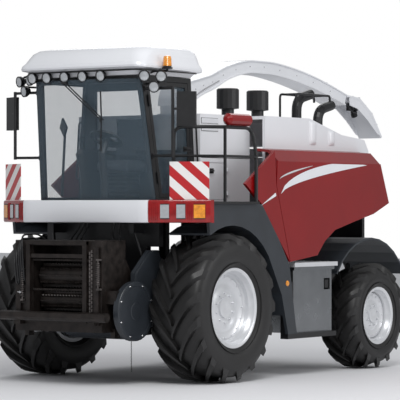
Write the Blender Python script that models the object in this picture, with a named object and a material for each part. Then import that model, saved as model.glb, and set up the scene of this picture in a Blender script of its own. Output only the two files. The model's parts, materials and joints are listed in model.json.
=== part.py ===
"""Self-propelled forage harvester: wheels, feeder, cab, engine house and spout.

Metres, +Z up, +X the machine's left, -Y its front. Places are measured from the
front axle's centre line; the machine empty then puts the whole object's middle at
the world origin, with the tyres on Z = 0.
"""

from math import cos, pi, radians, sin

import bmesh
import bpy
from mathutils import Vector

# Clearances
GAP = 0.0003        # between pieces that touch
SEAM = 0.006        # round a door, a cover or another moving piece

# Overall sizes
FRONT_REACH = 1.56      # front axle to the tip of the feeder
SPOUT_REACH = 5.56      # front axle to the tip of the spout
WHEELBASE = 3.25
FRONT_TRACK = 2.40
REAR_TRACK = 2.54
BODY_HALF = 1.48        # centre line to the outer face of the side panels

# Wheels
FRONT_TYRE = {"radius": 0.88, "width": 0.70, "rim": 0.44, "disc": 0.13}
REAR_TYRE = {"radius": 0.675, "width": 0.54, "rim": 0.335, "disc": 0.11}
TYRE_SIDES = 32
RIM_WALL = 0.025
RIM_LIP = 0.035
DISC_THICK = 0.03
HUB_RADIUS = 0.15

# Chassis
RAIL_X = (0.42, 0.52)
RAIL_Z = (1.05, 1.30)
RAIL_FRONT = -0.50
RAIL_REAR = 3.78
AXLE_HALF = 0.13        # half height and depth of the front axle's beam
KINGPIN_X = 0.90
KINGPIN_RADIUS = 0.045
STEER_BEAM_HALF = 0.085

# Feeder and chopping drum
DRUM_Y = -0.56
DRUM_Z = 0.86
DRUM_CASE = 0.36
FEEDER_HALF = 0.60
PLATE = 0.04
MOUTH_HALF = 0.37
MOUTH_Z = (0.80, 1.62)
FEEDER_FRONT = -1.42
FEEDER_TOP = 1.68
FEEDER_LOW = 0.62
DRIVE_COVER_X = (0.70, 0.755)
GEAR_GUARD = {"y": -1.02, "z": 0.86, "radius": 0.34, "x": (0.765, 0.83)}
ROLLER_Y = -1.22
ROLLS = {"upper": (1.27, 0.15), "lower": (0.97, 0.12)}     # height, radius
# Lift cylinders, (y, z): their pins on the axle, and their rods' eyes under the feeder
LIFT_BASE = (-0.24, 0.62)
LIFT_EYE = (-1.16, 0.60)
LIFT_X = 0.70
LIFT_PIN = 0.048        # half length of a lift cylinder's base pin

# Cab
CAB_FLOOR_Z = 2.06
CAB_TOP_Z = 3.60
CAB_HALF_LOW = 0.87
CAB_HALF_HIGH = 0.79
CAB_FRONT_LOW = -0.66
CAB_FRONT_HIGH = -0.86
CAB_REAR = 0.12
CAB_WALL = 0.05
GLASS = 0.012
PILLAR = 0.07
WINDOW_LOW = 2.20
WINDOW_HIGH = 3.52
SCREEN_BULGE = 0.13

# Engine house, hood and side covers
DECK_Z = 2.10
RAIL_OUT = 1.505         # handrail's distance from the centre line
HOUSE_HALF = 0.92
HOUSE_REAR = 1.18
HOUSE_TOP = 3.18
SERVICE_Y = (0.22, 0.68)
SERVICE_Z = (2.15, 2.60)
REAR_DOOR_HALF = 0.80
REAR_DOOR_Z = (2.05, 2.74)
HOOD_HALF = 1.15
HOOD_REAR = 3.60
HOOD_BEND = 2.18        # where the hood's top starts to fall
HOOD_KNEE = 2.95
HOOD_KNEE_Z = 2.99
EXHAUST_RADIUS = 0.062
BARREL = 0.0125         # radius of a door hinge's barrel
PIN_SIDES = 16
HINGE_OUT = BARREL / cos(pi / PIN_SIDES) + GAP      # hinge line from the wall it stands on
SHEET = 0.04
COVER_TOP_Z = 2.76
COVER_TOP_Y = (0.98, 3.34)
COVER_BEND_Z = 2.62
FENDER_BACK = ((0.62, DECK_Z - GAP), (1.00, 1.66))     # the edge the red panel meets
COVER_PIN = 0.02
COVER_LINE = HOOD_HALF + COVER_PIN / cos(pi / PIN_SIDES) + GAP     # hinge line of the side covers

# Spout
TURRET_Y = 0.92
TURRET_RADIUS = 0.20
SPOUT_HALF = 0.18
SPOUT_HINGE_Z = 3.32

PAINTS = {
    # slot             red    green  blue   rough  metal
    "white_paint":    (0.84,  0.85,  0.87,  0.30,  0.0),
    "red_paint":      (0.45,  0.015, 0.02,  0.28,  0.0),
    "grey_paint":     (0.075, 0.085, 0.10,  0.45,  0.0),
    "black_paint":    (0.02,  0.02,  0.022, 0.50,  0.0),
    "silver_paint":   (0.72,  0.73,  0.74,  0.32,  0.6),
    "tank_metal":     (0.25,  0.26,  0.27,  0.35,  0.8),
    "steel":          (0.45,  0.43,  0.42,  0.40,  0.9),
    "tyre_rubber":    (0.02,  0.02,  0.02,  0.75,  0.0),
    "cab_glass":      (0.30,  0.42,  0.48,  0.05,  0.0),
    "seat_fabric":    (0.06,  0.07,  0.08,  0.90,  0.0),
    "black_plastic":  (0.03,  0.03,  0.032, 0.55,  0.0),
    "warning_board":  (0.85,  0.82,  0.80,  0.40,  0.0),
}

# ---------------------------------------------------------------- plain shapes


def shape(points, faces):
    """One closed body as a bmesh, its faces turned outwards."""
    form = bmesh.new()
    corners = [form.verts.new(point) for point in points]
    for face in faces:
        form.faces.new([corners[i] for i in face])
    bmesh.ops.recalc_face_normals(form, faces=form.faces)
    return form


def loft(sections):
    """Loops with equally many points, joined in turn and capped at both ends."""
    count = len(sections[0])
    points = [point for section in sections for point in section]
    last = len(points) - count
    faces = [range(count), range(last, last + count)]
    for start in range(0, last, count):
        for i in range(count):
            j = (i + 1) % count
            faces.append((start + i, start + j, start + count + j, start + count + i))
    return shape(points, faces)


def prism(axis, span, outline):
    """An outline in the two other axes, in X, Y, Z order, carried along axis."""
    place = {
        "X": lambda at, u, v: (at, u, v),
        "Y": lambda at, u, v: (u, at, v),
        "Z": lambda at, u, v: (u, v, at),
    }[axis]
    return loft([[place(at, u, v) for u, v in outline] for at in span])


def box(x, y, z):
    return prism("Z", z, [(x[0], y[0]), (x[1], y[0]), (x[1], y[1]), (x[0], y[1])])


def ring(centre, along, across, radius, sides):
    """A loop round centre. A flat side, not a corner, lies at across and under it."""
    up = along.cross(across)
    size = radius / cos(pi / sides)
    turns = [2 * pi * (i + 0.5) / sides for i in range(sides)]
    return [centre + size * (cos(t) * across + sin(t) * up) for t in turns]


def square_to(along):
    guide = Vector((0, 0, 1)) if abs(along.z) < 0.9 else Vector((1, 0, 0))
    return along.cross(guide).normalized()


def turned(centre, along, profile, sides=16):
    """Rings of (distance along, radius) round an axis, capped at both ends."""
    along = Vector(along).normalized()
    across = square_to(along)
    centre = Vector(centre)
    return loft([ring(centre + at * along, along, across, r, sides) for at, r in profile])


def turned_ring(centre, along, profile, sides):
    """A closed (distance along, radius) loop spun round an axis that it never meets."""
    along = Vector(along).normalized()
    across = square_to(along)
    loops = [ring(Vector(centre) + at * along, along, across, r, sides) for at, r in profile]
    points = [point for loop in loops for point in loop]
    faces = []
    for row in range(len(loops)):
        near, far = row * sides, (row + 1) % len(loops) * sides
        for i in range(sides):
            j = (i + 1) % sides
            faces.append((near + i, near + j, far + j, far + i))
    return shape(points, faces)


def rod(start, end, radius, sides=10):
    start, end = Vector(start), Vector(end)
    return turned(start, end - start, [(0, radius), ((end - start).length, radius)], sides)


def pipe(route, radius, sides=8):
    """A round tube along a route, mitred at each corner."""
    route = [Vector(point) for point in route]
    runs = [(b - a).normalized() for a, b in zip(route, route[1:])]
    across = square_to(runs[0])
    sections = []
    for i, point in enumerate(route):
        before, after = runs[max(i - 1, 0)], runs[min(i, len(runs) - 1)]
        along = (before + after).normalized()
        across = (across - across.dot(along) * along).normalized()
        sections.append(ring(point, along, across, radius, sides))
    return loft(sections)


def rounded(route, radius, steps=3):
    """The route with each inner corner replaced by a short curve."""
    route = [Vector(point) for point in route]
    smooth = [route[0]]
    for before, corner, after in zip(route, route[1:], route[2:]):
        reach = min(radius, (before - corner).length / 2, (after - corner).length / 2)
        start = corner + reach * (before - corner).normalized()
        end = corner + reach * (after - corner).normalized()
        for i in range(steps + 1):
            t = i / steps
            smooth.append(start.lerp(corner, t).lerp(corner.lerp(end, t), t))
    return smooth + [route[-1]]


def arc(centre, radius, start, end, steps):
    """Points on a circle in a plane, from one angle to another in degrees."""
    turns = [radians(start + (end - start) * i / steps) for i in range(steps + 1)]
    return [(centre[0] + radius * cos(t), centre[1] + radius * sin(t)) for t in turns]


def plank(start, end, thick, z):
    """An upright plate in plan from start to end, its thickness to the right."""
    run = (Vector(end) - Vector(start)).normalized()
    aside = Vector((run.y, -run.x)) * thick
    corners = [Vector(start), Vector(end), Vector(end) + aside, Vector(start) + aside]
    return prism("Z", z, [tuple(corner) for corner in corners])


# ---------------------------------------------------------------- nodes


def clear_scene():
    for thing in list(bpy.data.objects):
        bpy.data.objects.remove(thing, do_unlink=True)


def paint(slot):
    material = bpy.data.materials.get(slot)
    if material is None:
        red, green, blue, rough, metal = PAINTS[slot]
        material = bpy.data.materials.new(slot)
        material.use_nodes = True
        finish = material.node_tree.nodes["Principled BSDF"].inputs
        finish["Base Color"].default_value = (red, green, blue, 1)
        finish["Roughness"].default_value = rough
        finish["Metallic"].default_value = metal
        material.diffuse_color = (red, green, blue, 1)
    return material


PLACES = {"machine": Vector((0, 0, 0))}


def pivot(name, place=None, parent="machine"):
    """An empty on a joint's axis, which the pieces that turn there hang from."""
    empty = bpy.data.objects.new(name, None)
    bpy.context.scene.collection.objects.link(empty)
    PLACES[name] = Vector(place)
    empty.parent = bpy.data.objects[parent]
    empty.location = PLACES[name] - PLACES[parent]


def as_object(name, form, side):
    if side < 0:
        for vertex in form.verts:
            vertex.co.x = -vertex.co.x
        bmesh.ops.reverse_faces(form, faces=form.faces)
    mesh = bpy.data.meshes.new(name)
    form.to_mesh(mesh)
    form.free()
    made = bpy.data.objects.new(name, mesh)
    bpy.context.scene.collection.objects.link(made)
    return made


def node(name, slot, adds, cuts=(), at="machine", side=1):
    """One sub-part: the union of adds less cuts, hung from the pivot called at.

    Shapes are given for the left side; side = -1 mirrors them to the right.
    """
    body, *others = [as_object(name, form, side) for form in adds]
    cutters = [as_object(name + "_cut", form, side) for form in cuts]
    for operation, helpers in (("UNION", others), ("DIFFERENCE", cutters)):
        for helper in helpers:
            modifier = body.modifiers.new(operation, "BOOLEAN")
            modifier.operation = operation
            modifier.object = helper
    graph = bpy.context.evaluated_depsgraph_get()
    mesh = bpy.data.meshes.new_from_object(body.evaluated_get(graph))
    for helper in [body] + others + cutters:
        bpy.data.objects.remove(helper, do_unlink=True)
    for vertex in mesh.vertices:
        vertex.co -= PLACES[at]
    mesh.materials.clear()
    mesh.materials.append(paint(slot))
    mesh.shade_smooth()
    mesh.set_sharp_from_angle(angle=radians(32))
    mesh.name = name
    made = bpy.data.objects.new(name, mesh)
    bpy.context.scene.collection.objects.link(made)
    made.parent = bpy.data.objects[at]
    return made


SIDES = ((1, "left"), (-1, "right"))

# ---------------------------------------------------------------- running gear


def wheel(word, side, end, tyre, track, height, at):
    """A tyre and its rim, the rim's dished disc facing outwards."""
    half = tyre["width"] / 2
    bead = 0.82 * half
    centre = (track / 2, height[0], height[1])
    radius, rim = tyre["radius"], tyre["rim"]
    # (across the tyre, radius) from the tread's inner edge round to the beads
    section = [
        (-0.76 * half, radius), (0.76 * half, radius), (half, 0.90 * radius),
        (half, 0.68 * radius), (bead, rim + RIM_LIP + 0.02), (bead, rim + GAP),
        (-bead, rim + GAP), (-bead, rim + RIM_LIP + 0.02), (-half, 0.68 * radius),
        (-half, 0.90 * radius),
    ]
    node(f"tyre_{end}_{word}", "tyre_rubber",
         [turned_ring(centre, (1, 0, 0), section, TYRE_SIDES)], at=at, side=side)
    lip = bead + GAP
    edge = lip + 0.018
    inner = rim - RIM_WALL
    barrel = [
        (-bead, rim), (bead, rim), (lip, rim + RIM_LIP), (edge, rim + RIM_LIP),
        (edge, inner), (-edge, inner), (-edge, rim + RIM_LIP), (-lip, rim + RIM_LIP),
    ]
    disc = tyre["disc"]
    dish = [(disc, inner + 0.01), (disc + DISC_THICK, inner + 0.01)]
    hub = [(disc + DISC_THICK - 0.01, HUB_RADIUS), (disc + 0.06, HUB_RADIUS - 0.02)]
    node(f"rim_{end}_{word}", "silver_paint",
         [turned_ring(centre, (1, 0, 0), barrel, TYRE_SIDES),
          turned(centre, (1, 0, 0), dish, TYRE_SIDES),
          turned(centre, (1, 0, 0), hub, 16)], at=at, side=side)


def front_axle():
    height = FRONT_TYRE["radius"]
    disc_face = FRONT_TRACK / 2 + FRONT_TYRE["disc"] - GAP
    parts = [box((-0.80, 0.80), (-AXLE_HALF, AXLE_HALF), (height - AXLE_HALF, height + AXLE_HALF))]
    for sign in (1, -1):
        parts.append(rod((sign * 0.78, 0, height), (sign * disc_face, 0, height), 0.14, 16))
        parts.append(rod((sign * 0.82, 0, height), (sign * 1.02, 0, height), 0.22, 16))
        rail = sorted((sign * RAIL_X[0], sign * RAIL_X[1]))
        parts.append(box(rail, (-0.10, 0.10), (height, RAIL_Z[0] - GAP)))
        lug = sorted((sign * (LIFT_X - 0.12), sign * (LIFT_X - LIFT_PIN)))
        parts.append(box(lug, (LIFT_BASE[0] - 0.05, -0.08), (LIFT_BASE[1] - 0.05, height - 0.05)))
    node("front_axle", "grey_paint", parts)


def rear_axle():
    """The rear beam with an eye round each kingpin, hung under the rails."""
    height = REAR_TYRE["radius"]
    low, high = height - STEER_BEAM_HALF, height + STEER_BEAM_HALF
    end = KINGPIN_X + 0.07
    parts = [box((-end, end), (WHEELBASE - 0.08, WHEELBASE + 0.08), (low, high))]
    holes = []
    for sign in (1, -1):
        rail = sorted((sign * RAIL_X[0], sign * RAIL_X[1]))
        parts.append(box(rail, (WHEELBASE - 0.09, WHEELBASE + 0.09), (height, RAIL_Z[0] - GAP)))
        spot = Vector((sign * KINGPIN_X, WHEELBASE, 0))
        holes.append(rod(spot + Vector((0, 0, low - 0.05)), spot + Vector((0, 0, high + 0.05)),
                         KINGPIN_RADIUS + 0.001, 16))
    node("rear_axle", "grey_paint", parts, holes)


def knuckle(word, side):
    """Kingpin, its two jaws round the beam's end, and the stub the wheel runs on."""
    height = REAR_TYRE["radius"]
    low, high = height - STEER_BEAM_HALF - 0.001, height + STEER_BEAM_HALF + 0.001
    disc_face = REAR_TRACK / 2 + REAR_TYRE["disc"] - GAP
    inner, outer = KINGPIN_X - 0.06, KINGPIN_X + 0.16
    depth = (WHEELBASE - 0.06, WHEELBASE + 0.06)
    parts = [
        rod((KINGPIN_X, WHEELBASE, low - 0.04), (KINGPIN_X, WHEELBASE, high + 0.04),
            KINGPIN_RADIUS, 16),
        box((inner, outer), depth, (high, high + 0.035)),
        box((inner, outer), depth, (low - 0.035, low)),
        box((outer - 0.04, outer + 0.02), depth, (low - 0.035, high + 0.035)),
        rod((outer, WHEELBASE, height), (disc_face, WHEELBASE, height), 0.09, 16),
    ]
    node("knuckle_" + word, "grey_paint", parts, at="steer_" + word, side=side)


def chassis():
    """Two rails with cross members, cab posts, outriggers and the rear hitch plate."""
    parts = []
    for sign in (1, -1):
        rail = sorted((sign * RAIL_X[0], sign * RAIL_X[1]))
        parts.append(box(rail, (RAIL_FRONT, RAIL_REAR), RAIL_Z))
        for y in (-0.42, 0.02):
            parts.append(box(rail, (y - 0.04, y + 0.04), (RAIL_Z[1] - 0.02, CAB_FLOOR_Z - GAP)))
        for y in (1.30, 2.18):
            sill = sorted((sign * RAIL_X[0], sign * 1.40))
            parts.append(box(sill, (y - 0.04, y + 0.04), (1.06, 1.16)))
        outer = sorted((sign * 1.36, sign * 1.43))
        parts.append(box(outer, (1.20, 1.38), (0.46, 1.15)))
        parts.append(box(sorted((sign * 1.36, sign * 1.47)), (1.20, 2.30), (0.46, 0.52)))
        for y, top in ((0.58, 1.98), (3.57, 1.985)):
            parts.append(box(rail, (y - 0.03, y + 0.03), (RAIL_Z[1] - 0.02, top - GAP)))
        parts.append(box(sorted((sign * 1.30, sign * 1.42)), (2.12, 2.24), (0.48, 0.52)))
    across = (-RAIL_X[1] + 0.01, RAIL_X[1] - 0.01)
    for y in (0.55, 1.5, 2.85, RAIL_REAR - 0.05):
        parts.append(box(across, (y - 0.045, y + 0.045), (RAIL_Z[0] + 0.02, RAIL_Z[1] - 0.02)))
    # The dark wall under the cab, narrower between the front wheels
    low, step, top = RAIL_Z[1] - 0.06, 1.60, 2.03
    wall = [(-0.66, low), (0.66, low), (0.66, step), (0.84, step), (0.84, top), (-0.84, top),
            (-0.84, step), (-0.66, step)]
    parts.append(prism("Y", (-0.58, -0.50), wall))
    # Rear cross panel over the hitch
    panel = [(-0.51, 1.10), (0.51, 1.10), (0.51, 1.56), (0.95, 1.56), (0.95, 1.98), (-0.95, 1.98),
             (-0.95, 1.56), (-0.51, 1.56)]
    parts.append(prism("Y", (RAIL_REAR - 0.01, RAIL_REAR + 0.05), panel))
    parts.append(box((-0.16, 0.16), (RAIL_REAR - 0.01, RAIL_REAR + 0.09), (0.62, 1.20)))
    node("chassis_frame", "black_paint", parts)


def engine():
    node("engine_block", "grey_paint",
         [box((-0.51, 0.51), (1.72, 2.62), (RAIL_Z[1] + GAP, 2.30))])


# ---------------------------------------------------------------- side bodywork


def band(line, thick):
    """A flat band of even width along a line, on its left."""
    line = [Vector(point) for point in line]
    runs = [(b - a).normalized() for a, b in zip(line, line[1:])]
    edge = []
    for i, point in enumerate(line):
        before, after = runs[max(i - 1, 0)], runs[min(i, len(runs) - 1)]
        aside = Vector((-before.y - after.y, before.x + after.x)).normalized()
        edge.append(tuple(point + aside * thick / aside.dot(Vector((-after.y, after.x)))))
    return [tuple(point) for point in line] + edge[::-1]


def front_fender(word, side):
    """Arch over the front tyre: an outer panel, and a liner between it and the frame."""
    height = FRONT_TYRE["radius"]
    radius = FRONT_TYRE["radius"] + 0.09
    inner = arc((0, height), radius, 38, 118, 8)
    skirt = [(1.19, 0.521), (1.05, 1.00)]
    top = DECK_Z - GAP
    outline = skirt + inner + [(-0.50, top), *FENDER_BACK, (1.22, 1.36), (1.36, 0.62), (1.39, 0.521)]
    liner = band([(1.12, 0.75), (1.04, 1.02)] + inner, -0.025)
    node("front_fender_" + word, "grey_paint",
         [prism("X", (BODY_HALF - SHEET, BODY_HALF), outline),
          prism("X", (0.90, BODY_HALF - SHEET / 2), liner)], side=side)


def rear_fender(word, side):
    height = REAR_TYRE["radius"]
    radius = height + 0.30
    sheet = arc((WHEELBASE, height), radius, 32, 146, 10)
    outer = arc((WHEELBASE, height), radius + 0.025, 146, 32, 10)
    stay = [(WHEELBASE - 0.05, RAIL_Z[1] - 0.1), (WHEELBASE + 0.05, RAIL_Z[1] - 0.1),
            (WHEELBASE + 0.05, height + radius + 0.01), (WHEELBASE - 0.05, height + radius + 0.01)]
    node("rear_fender_" + word, "grey_paint",
         [prism("X", (RAIL_X[1] + GAP, 1.40), sheet + outer),
          prism("X", (RAIL_X[1] + GAP, RAIL_X[1] + 0.03), stay)], side=side)


def platforms():
    """Walkways beside the cab; the left one has a handrail."""
    low = DECK_Z
    for side, word in SIDES:
        inner = HOUSE_HALF + GAP
        parts = [box((CAB_HALF_LOW + 0.02, RAIL_OUT + 0.025), (-0.46, CAB_REAR + 0.01), (low, low + 0.03)),
                 box((inner, RAIL_OUT + 0.025), (CAB_REAR, 0.50), (low, low + 0.03))]
        if side > 0:
            rail = [(1.09, -0.64, low + 0.01), (1.09, -0.64, 3.00), (1.30, -0.48, 3.00),
                    (RAIL_OUT, -0.20, 3.00), (RAIL_OUT, 0.36, 3.00), (RAIL_OUT, 0.46, 2.70),
                    (RAIL_OUT, 0.46, low + 0.01)]
            bar = [(1.09, -0.64, 2.66), (1.30, -0.48, 2.66), (RAIL_OUT, -0.20, 2.66),
                   (RAIL_OUT, 0.46, 2.66)]
            parts.append(pipe(rounded(rail, 0.12), 0.020))
            parts.append(pipe(rounded(bar, 0.12), 0.016))
            parts.append(pipe([(RAIL_OUT, -0.19, low + 0.01), (RAIL_OUT, -0.19, 3.00)], 0.018))
            parts.append(box((1.05, 1.13), (-0.665, -0.44), (low, low + 0.03)))
        node("platform_" + word, "black_paint", parts, side=side)
    node("fire_extinguisher", "red_paint",
         [turned((1.49, -0.16, 3.00 + 0.02 / cos(pi / 8) + 0.07 + GAP), (0, 1, 0),
                 [(0, 0.03), (0.05, 0.07), (0.46, 0.07), (0.51, 0.03)], 12)])


def tank(word, side, slot):
    low = 0.5203
    outline = [(1.42, low), (2.30, low), (2.30, 1.05), (2.30, 1.30), (1.42, 1.30)]
    shape_cut = box((RAIL_X[1], 1.50), (2.12, 2.26), (1.04, 1.18))
    node(word, slot,
         [prism("X", (0.72, 1.40), outline), box((0.90, 1.43), (1.40, 2.32), (1.29, 1.33))],
         [shape_cut], side=side)


def side_panel(word, side):
    """The fixed red panel between the front arch and the side cover."""
    (y0, z0), (y1, z1) = FENDER_BACK
    off = Vector((z0 - z1, y1 - y0)).normalized() * 1.2 * GAP
    outline = [(y0 + off.x, z0 + off.y), (0.27, 2.34), (0.90, COVER_TOP_Z - 0.02), (0.93, 2.33),
               (1.233, 1.40), (y1 + off.x, z1 + off.y)]
    node("side_panel_" + word, "red_paint", [prism("X", (BODY_HALF - SHEET, BODY_HALF), outline)],
         side=side)


def side_cover(word, side):
    """The long red cover, which swings up about its top inner edge."""
    outline = [
        (1.242, 1.40), (0.94, 2.33), (0.96, COVER_BEND_Z), (3.36, COVER_BEND_Z), (3.57, 2.12),
        (3.19, 1.98), (2.75, 1.89), (2.26, 1.78), (2.02, 1.64), (1.85, 1.47),
    ]
    # (across, up) of the turned-in top edge
    line = COVER_LINE
    roll = [(BODY_HALF - SHEET, COVER_BEND_Z - 0.02), (BODY_HALF, COVER_BEND_Z - 0.001),
            (1.34, COVER_TOP_Z), (line, COVER_TOP_Z + 0.017), (line, COVER_TOP_Z - 0.013),
            (1.32, COVER_TOP_Z - 0.03)]
    node("side_cover_" + word, "red_paint",
         [prism("X", (BODY_HALF - SHEET, BODY_HALF), outline), prism("Y", COVER_TOP_Y, roll),
          rod(*((line, y, COVER_TOP_Z) for y in COVER_TOP_Y), COVER_PIN, PIN_SIDES)],
         at="cover_hinge_" + word, side=side)


def hinge(start, end, leaf):
    """Two barrels on a door's hinge line, from start to end, with a leaf to the door."""
    start, end, leaf = Vector(start), Vector(end), Vector(leaf)
    forms = []
    for low, high in ((0.12, 0.22), (0.78, 0.88)):
        a, b = start.lerp(end, low), start.lerp(end, high)
        forms.append(rod(a, b, BARREL, PIN_SIDES))
        deep = 1.6 * BARREL
        inward = Vector((-deep, 0, 0)) if abs(leaf.y) > abs(leaf.x) else Vector((0, -deep, 0))
        near = leaf.normalized() * (SEAM + 0.002)
        forms.append(loft([[p + near, p + leaf, p + leaf + inward, p + near + inward] for p in (a, b)]))
    return forms


def engine_house():
    """The white body behind the cab, open below, with a doorway in its left wall."""
    wall = 0.03
    y = (CAB_REAR + 0.012, HOUSE_REAR)
    shell = box((-HOUSE_HALF, HOUSE_HALF), y, (DECK_Z - 0.04, HOUSE_TOP))
    inside = box((-HOUSE_HALF + wall, HOUSE_HALF - wall), (y[0] + wall, y[1] - wall),
                 (DECK_Z - 0.10, HOUSE_TOP - wall))
    doorway = box((HOUSE_HALF - 0.10, HOUSE_HALF + 0.10), SERVICE_Y, SERVICE_Z)
    hole = rod((0, TURRET_Y, HOUSE_TOP - 0.1), (0, TURRET_Y, HOUSE_TOP + 0.1), TURRET_RADIUS + 0.01, 24)
    floor_rail = box((-HOUSE_HALF + 0.01, HOUSE_HALF - 0.01), (0.55, 0.61), (1.98, 2.09))
    node("engine_house", "white_paint", [shell, floor_rail], [inside, doorway, hole])
    (front, back), (low, high) = SERVICE_Y, SERVICE_Z
    door = box((HOUSE_HALF - 0.024, HOUSE_HALF), (front + SEAM, back - SEAM), (low + SEAM, high - SEAM))
    line = HOUSE_HALF + HINGE_OUT
    node("service_door", "white_paint",
         [door] + hinge((line, back, low + 0.01), (line, back, high - 0.01), (0, -0.04, 0)),
         at="service_hinge")


def hood():
    """The engine hood: top and side walls, with a doorway in its rear wall."""
    front = HOUSE_REAR + GAP
    outer = [(front, 2.62), (front, HOUSE_TOP), (HOOD_BEND, HOUSE_TOP), (HOOD_KNEE, HOOD_KNEE_Z),
             (3.50, 2.94), (HOOD_REAR, 2.80), (HOOD_REAR, 1.985), (HOOD_REAR - 0.12, 1.985),
             (HOOD_REAR - 0.12, 2.62)]
    top, rear = HOUSE_TOP - SHEET, HOOD_REAR - SHEET
    inner = [(HOUSE_REAR - 0.1, 2.5), (HOUSE_REAR - 0.1, top), (HOOD_BEND - 0.01, top),
             (HOOD_KNEE - 0.01, HOOD_KNEE_Z - SHEET), (rear, 2.87), (rear, 1.9), (3.3, 1.9), (3.3, 2.5)]
    shell = prism("X", (-HOOD_HALF, HOOD_HALF), outer)
    inside = prism("X", (-HOOD_HALF + SHEET, HOOD_HALF - SHEET), inner)
    half, (low, high) = REAR_DOOR_HALF, REAR_DOOR_Z
    doorway = box((-half, half), (HOOD_REAR - 0.1, HOOD_REAR + 0.1), REAR_DOOR_Z)
    node("engine_hood", "white_paint", [shell], [inside, doorway])
    door = box((-half + SEAM, half - SEAM), (HOOD_REAR - 0.03, HOOD_REAR), (low + SEAM, high - SEAM))
    line = HOOD_REAR + HINGE_OUT
    node("rear_door", "white_paint",
         [door] + hinge((-half, line, low + 0.02), (-half, line, high - 0.02), (0.04, 0, 0)),
         at="rear_hinge")


def hood_top(y):
    """Height of the hood's sloping top at y."""
    return HOUSE_TOP - (y - HOOD_BEND) / (HOOD_KNEE - HOOD_BEND) * (HOUSE_TOP - HOOD_KNEE_Z)


def roof_gear():
    """Two air cleaners on the left of the roof, and two exhaust bends behind them."""
    parts = []
    for i, y in enumerate((0.94, 1.59)):
        base = HOUSE_TOP + GAP
        parts = [turned((0.76, y, base), (0, 0, 1),
                        [(0, 0.075), (0.08, 0.075), (0.09, 0.135), (0.32, 0.135), (0.335, 0.12)], 16)]
        node(f"air_cleaner_{i + 1}", "black_plastic", parts)
    parts = []
    for y in (2.42, 2.92):
        seat = hood_top(y - EXHAUST_RADIUS) + GAP
        route = [(0.80, y, seat), (0.80, y, seat + 0.30), (0.80, y + 0.33, seat + 0.38)]
        parts.append(pipe(rounded(route, 0.22, 5), EXHAUST_RADIUS, 12))
        level = seat + 0.12
    parts.append(box((0.78, 0.82), (2.42, 2.92), (level, level + 0.04)))
    node("exhaust_bends", "black_paint", parts)


# ---------------------------------------------------------------- front of the body

BUMPER_Z = (1.88, 2.15)
BUMPER_FRONT = -0.97
BUMPER_BACK = -0.82
BUMPER_HALF = 0.87
LAMP_TIP = (1.56, -0.56)


def bumper():
    """White cross beam under the windscreen, a lamp cluster and a board at each end."""
    beam = [(-BUMPER_HALF, BUMPER_FRONT), (BUMPER_HALF, BUMPER_FRONT), (BUMPER_HALF, BUMPER_BACK),
            (-BUMPER_HALF, BUMPER_BACK)]
    parts = [prism("Z", BUMPER_Z, beam)]
    for sign in (1, -1):
        x = sorted((sign * 0.55, sign * 0.65))
        parts.append(box(x, (BUMPER_BACK - 0.02, -0.58 - GAP), (1.90, 2.00)))
    for sign in (1, -1):
        tip, back = (sign * LAMP_TIP[0], LAMP_TIP[1]), (sign * LAMP_TIP[0], LAMP_TIP[1] + 0.08)
        root = sign * (BUMPER_HALF - 0.02)
        cluster = [(root, BUMPER_FRONT + 0.004), tip, back, (root, BUMPER_BACK)]
        parts.append(prism("Z", (BUMPER_Z[0] + 0.004, BUMPER_Z[1]), cluster))
    node("bumper", "white_paint", parts)
    for side, word in SIDES:
        low = BUMPER_Z[1] + GAP
        board = plank((1.53, -0.545), (1.12, -0.76), 0.012, (low, low + 0.44))
        node("warning_board_" + word, "warning_board", [board], side=side)


# ---------------------------------------------------------------- cab


def cab_ring(z, inset):
    """The cab's plan outline at height z, moved in by inset."""
    share = (z - CAB_FLOOR_Z) / (CAB_TOP_Z - CAB_FLOOR_Z)
    half = CAB_HALF_LOW + share * (CAB_HALF_HIGH - CAB_HALF_LOW) - inset
    front = CAB_FRONT_LOW + share * (CAB_FRONT_HIGH - CAB_FRONT_LOW) + inset
    rear = CAB_REAR - inset
    return [(-half, front, z), (half, front, z), (half, rear, z), (-half, rear, z)]


def cab_side(z):
    return cab_ring(z, 0)[1][0]


def cab_front(z):
    return cab_ring(z, 0)[0][1]


def side_opening(margin):
    """The doorway's outline in the side wall, (y, z), moved in by margin."""
    low, high = WINDOW_LOW - 0.03 + margin, WINDOW_HIGH + 0.02 - margin
    return [(cab_front(low) + PILLAR + margin, low), (CAB_REAR - PILLAR - margin, low),
            (CAB_REAR - PILLAR - margin, high), (cab_front(high) + PILLAR + margin, high)]


def side_plate(outline, thick, inset=0.0):
    """A plate that lies in the cab's leaning left side, over a (y, z) outline."""
    outer = [(cab_side(z) - inset, y, z) for y, z in outline]
    return loft([outer, [(x - thick, y, z) for x, y, z in outer]])


def cab_body():
    """Floor, rear wall and posts, cut open at the windscreen, door and windows."""
    shell = loft([cab_ring(CAB_FLOOR_Z, 0), cab_ring(CAB_TOP_Z, 0)])
    inside = loft([cab_ring(CAB_FLOOR_Z + 0.06, CAB_WALL), cab_ring(CAB_TOP_Z + 0.05, CAB_WALL)])
    wide = CAB_HALF_HIGH - PILLAR - 0.01
    front = prism("Y", (-1.3, -0.5), [(-CAB_HALF_LOW + PILLAR, WINDOW_LOW - 0.02),
                                      (CAB_HALF_LOW - PILLAR, WINDOW_LOW - 0.02),
                                      (wide, WINDOW_HIGH), (-wide, WINDOW_HIGH)])
    rear = box((-0.62, 0.62), (0.0, 0.3), (2.75, WINDOW_HIGH - 0.04))
    sides = prism("X", (-1.2, 1.2), side_opening(0))
    node("cab_shell", "black_paint", [shell], [inside, front, rear, sides])


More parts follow.
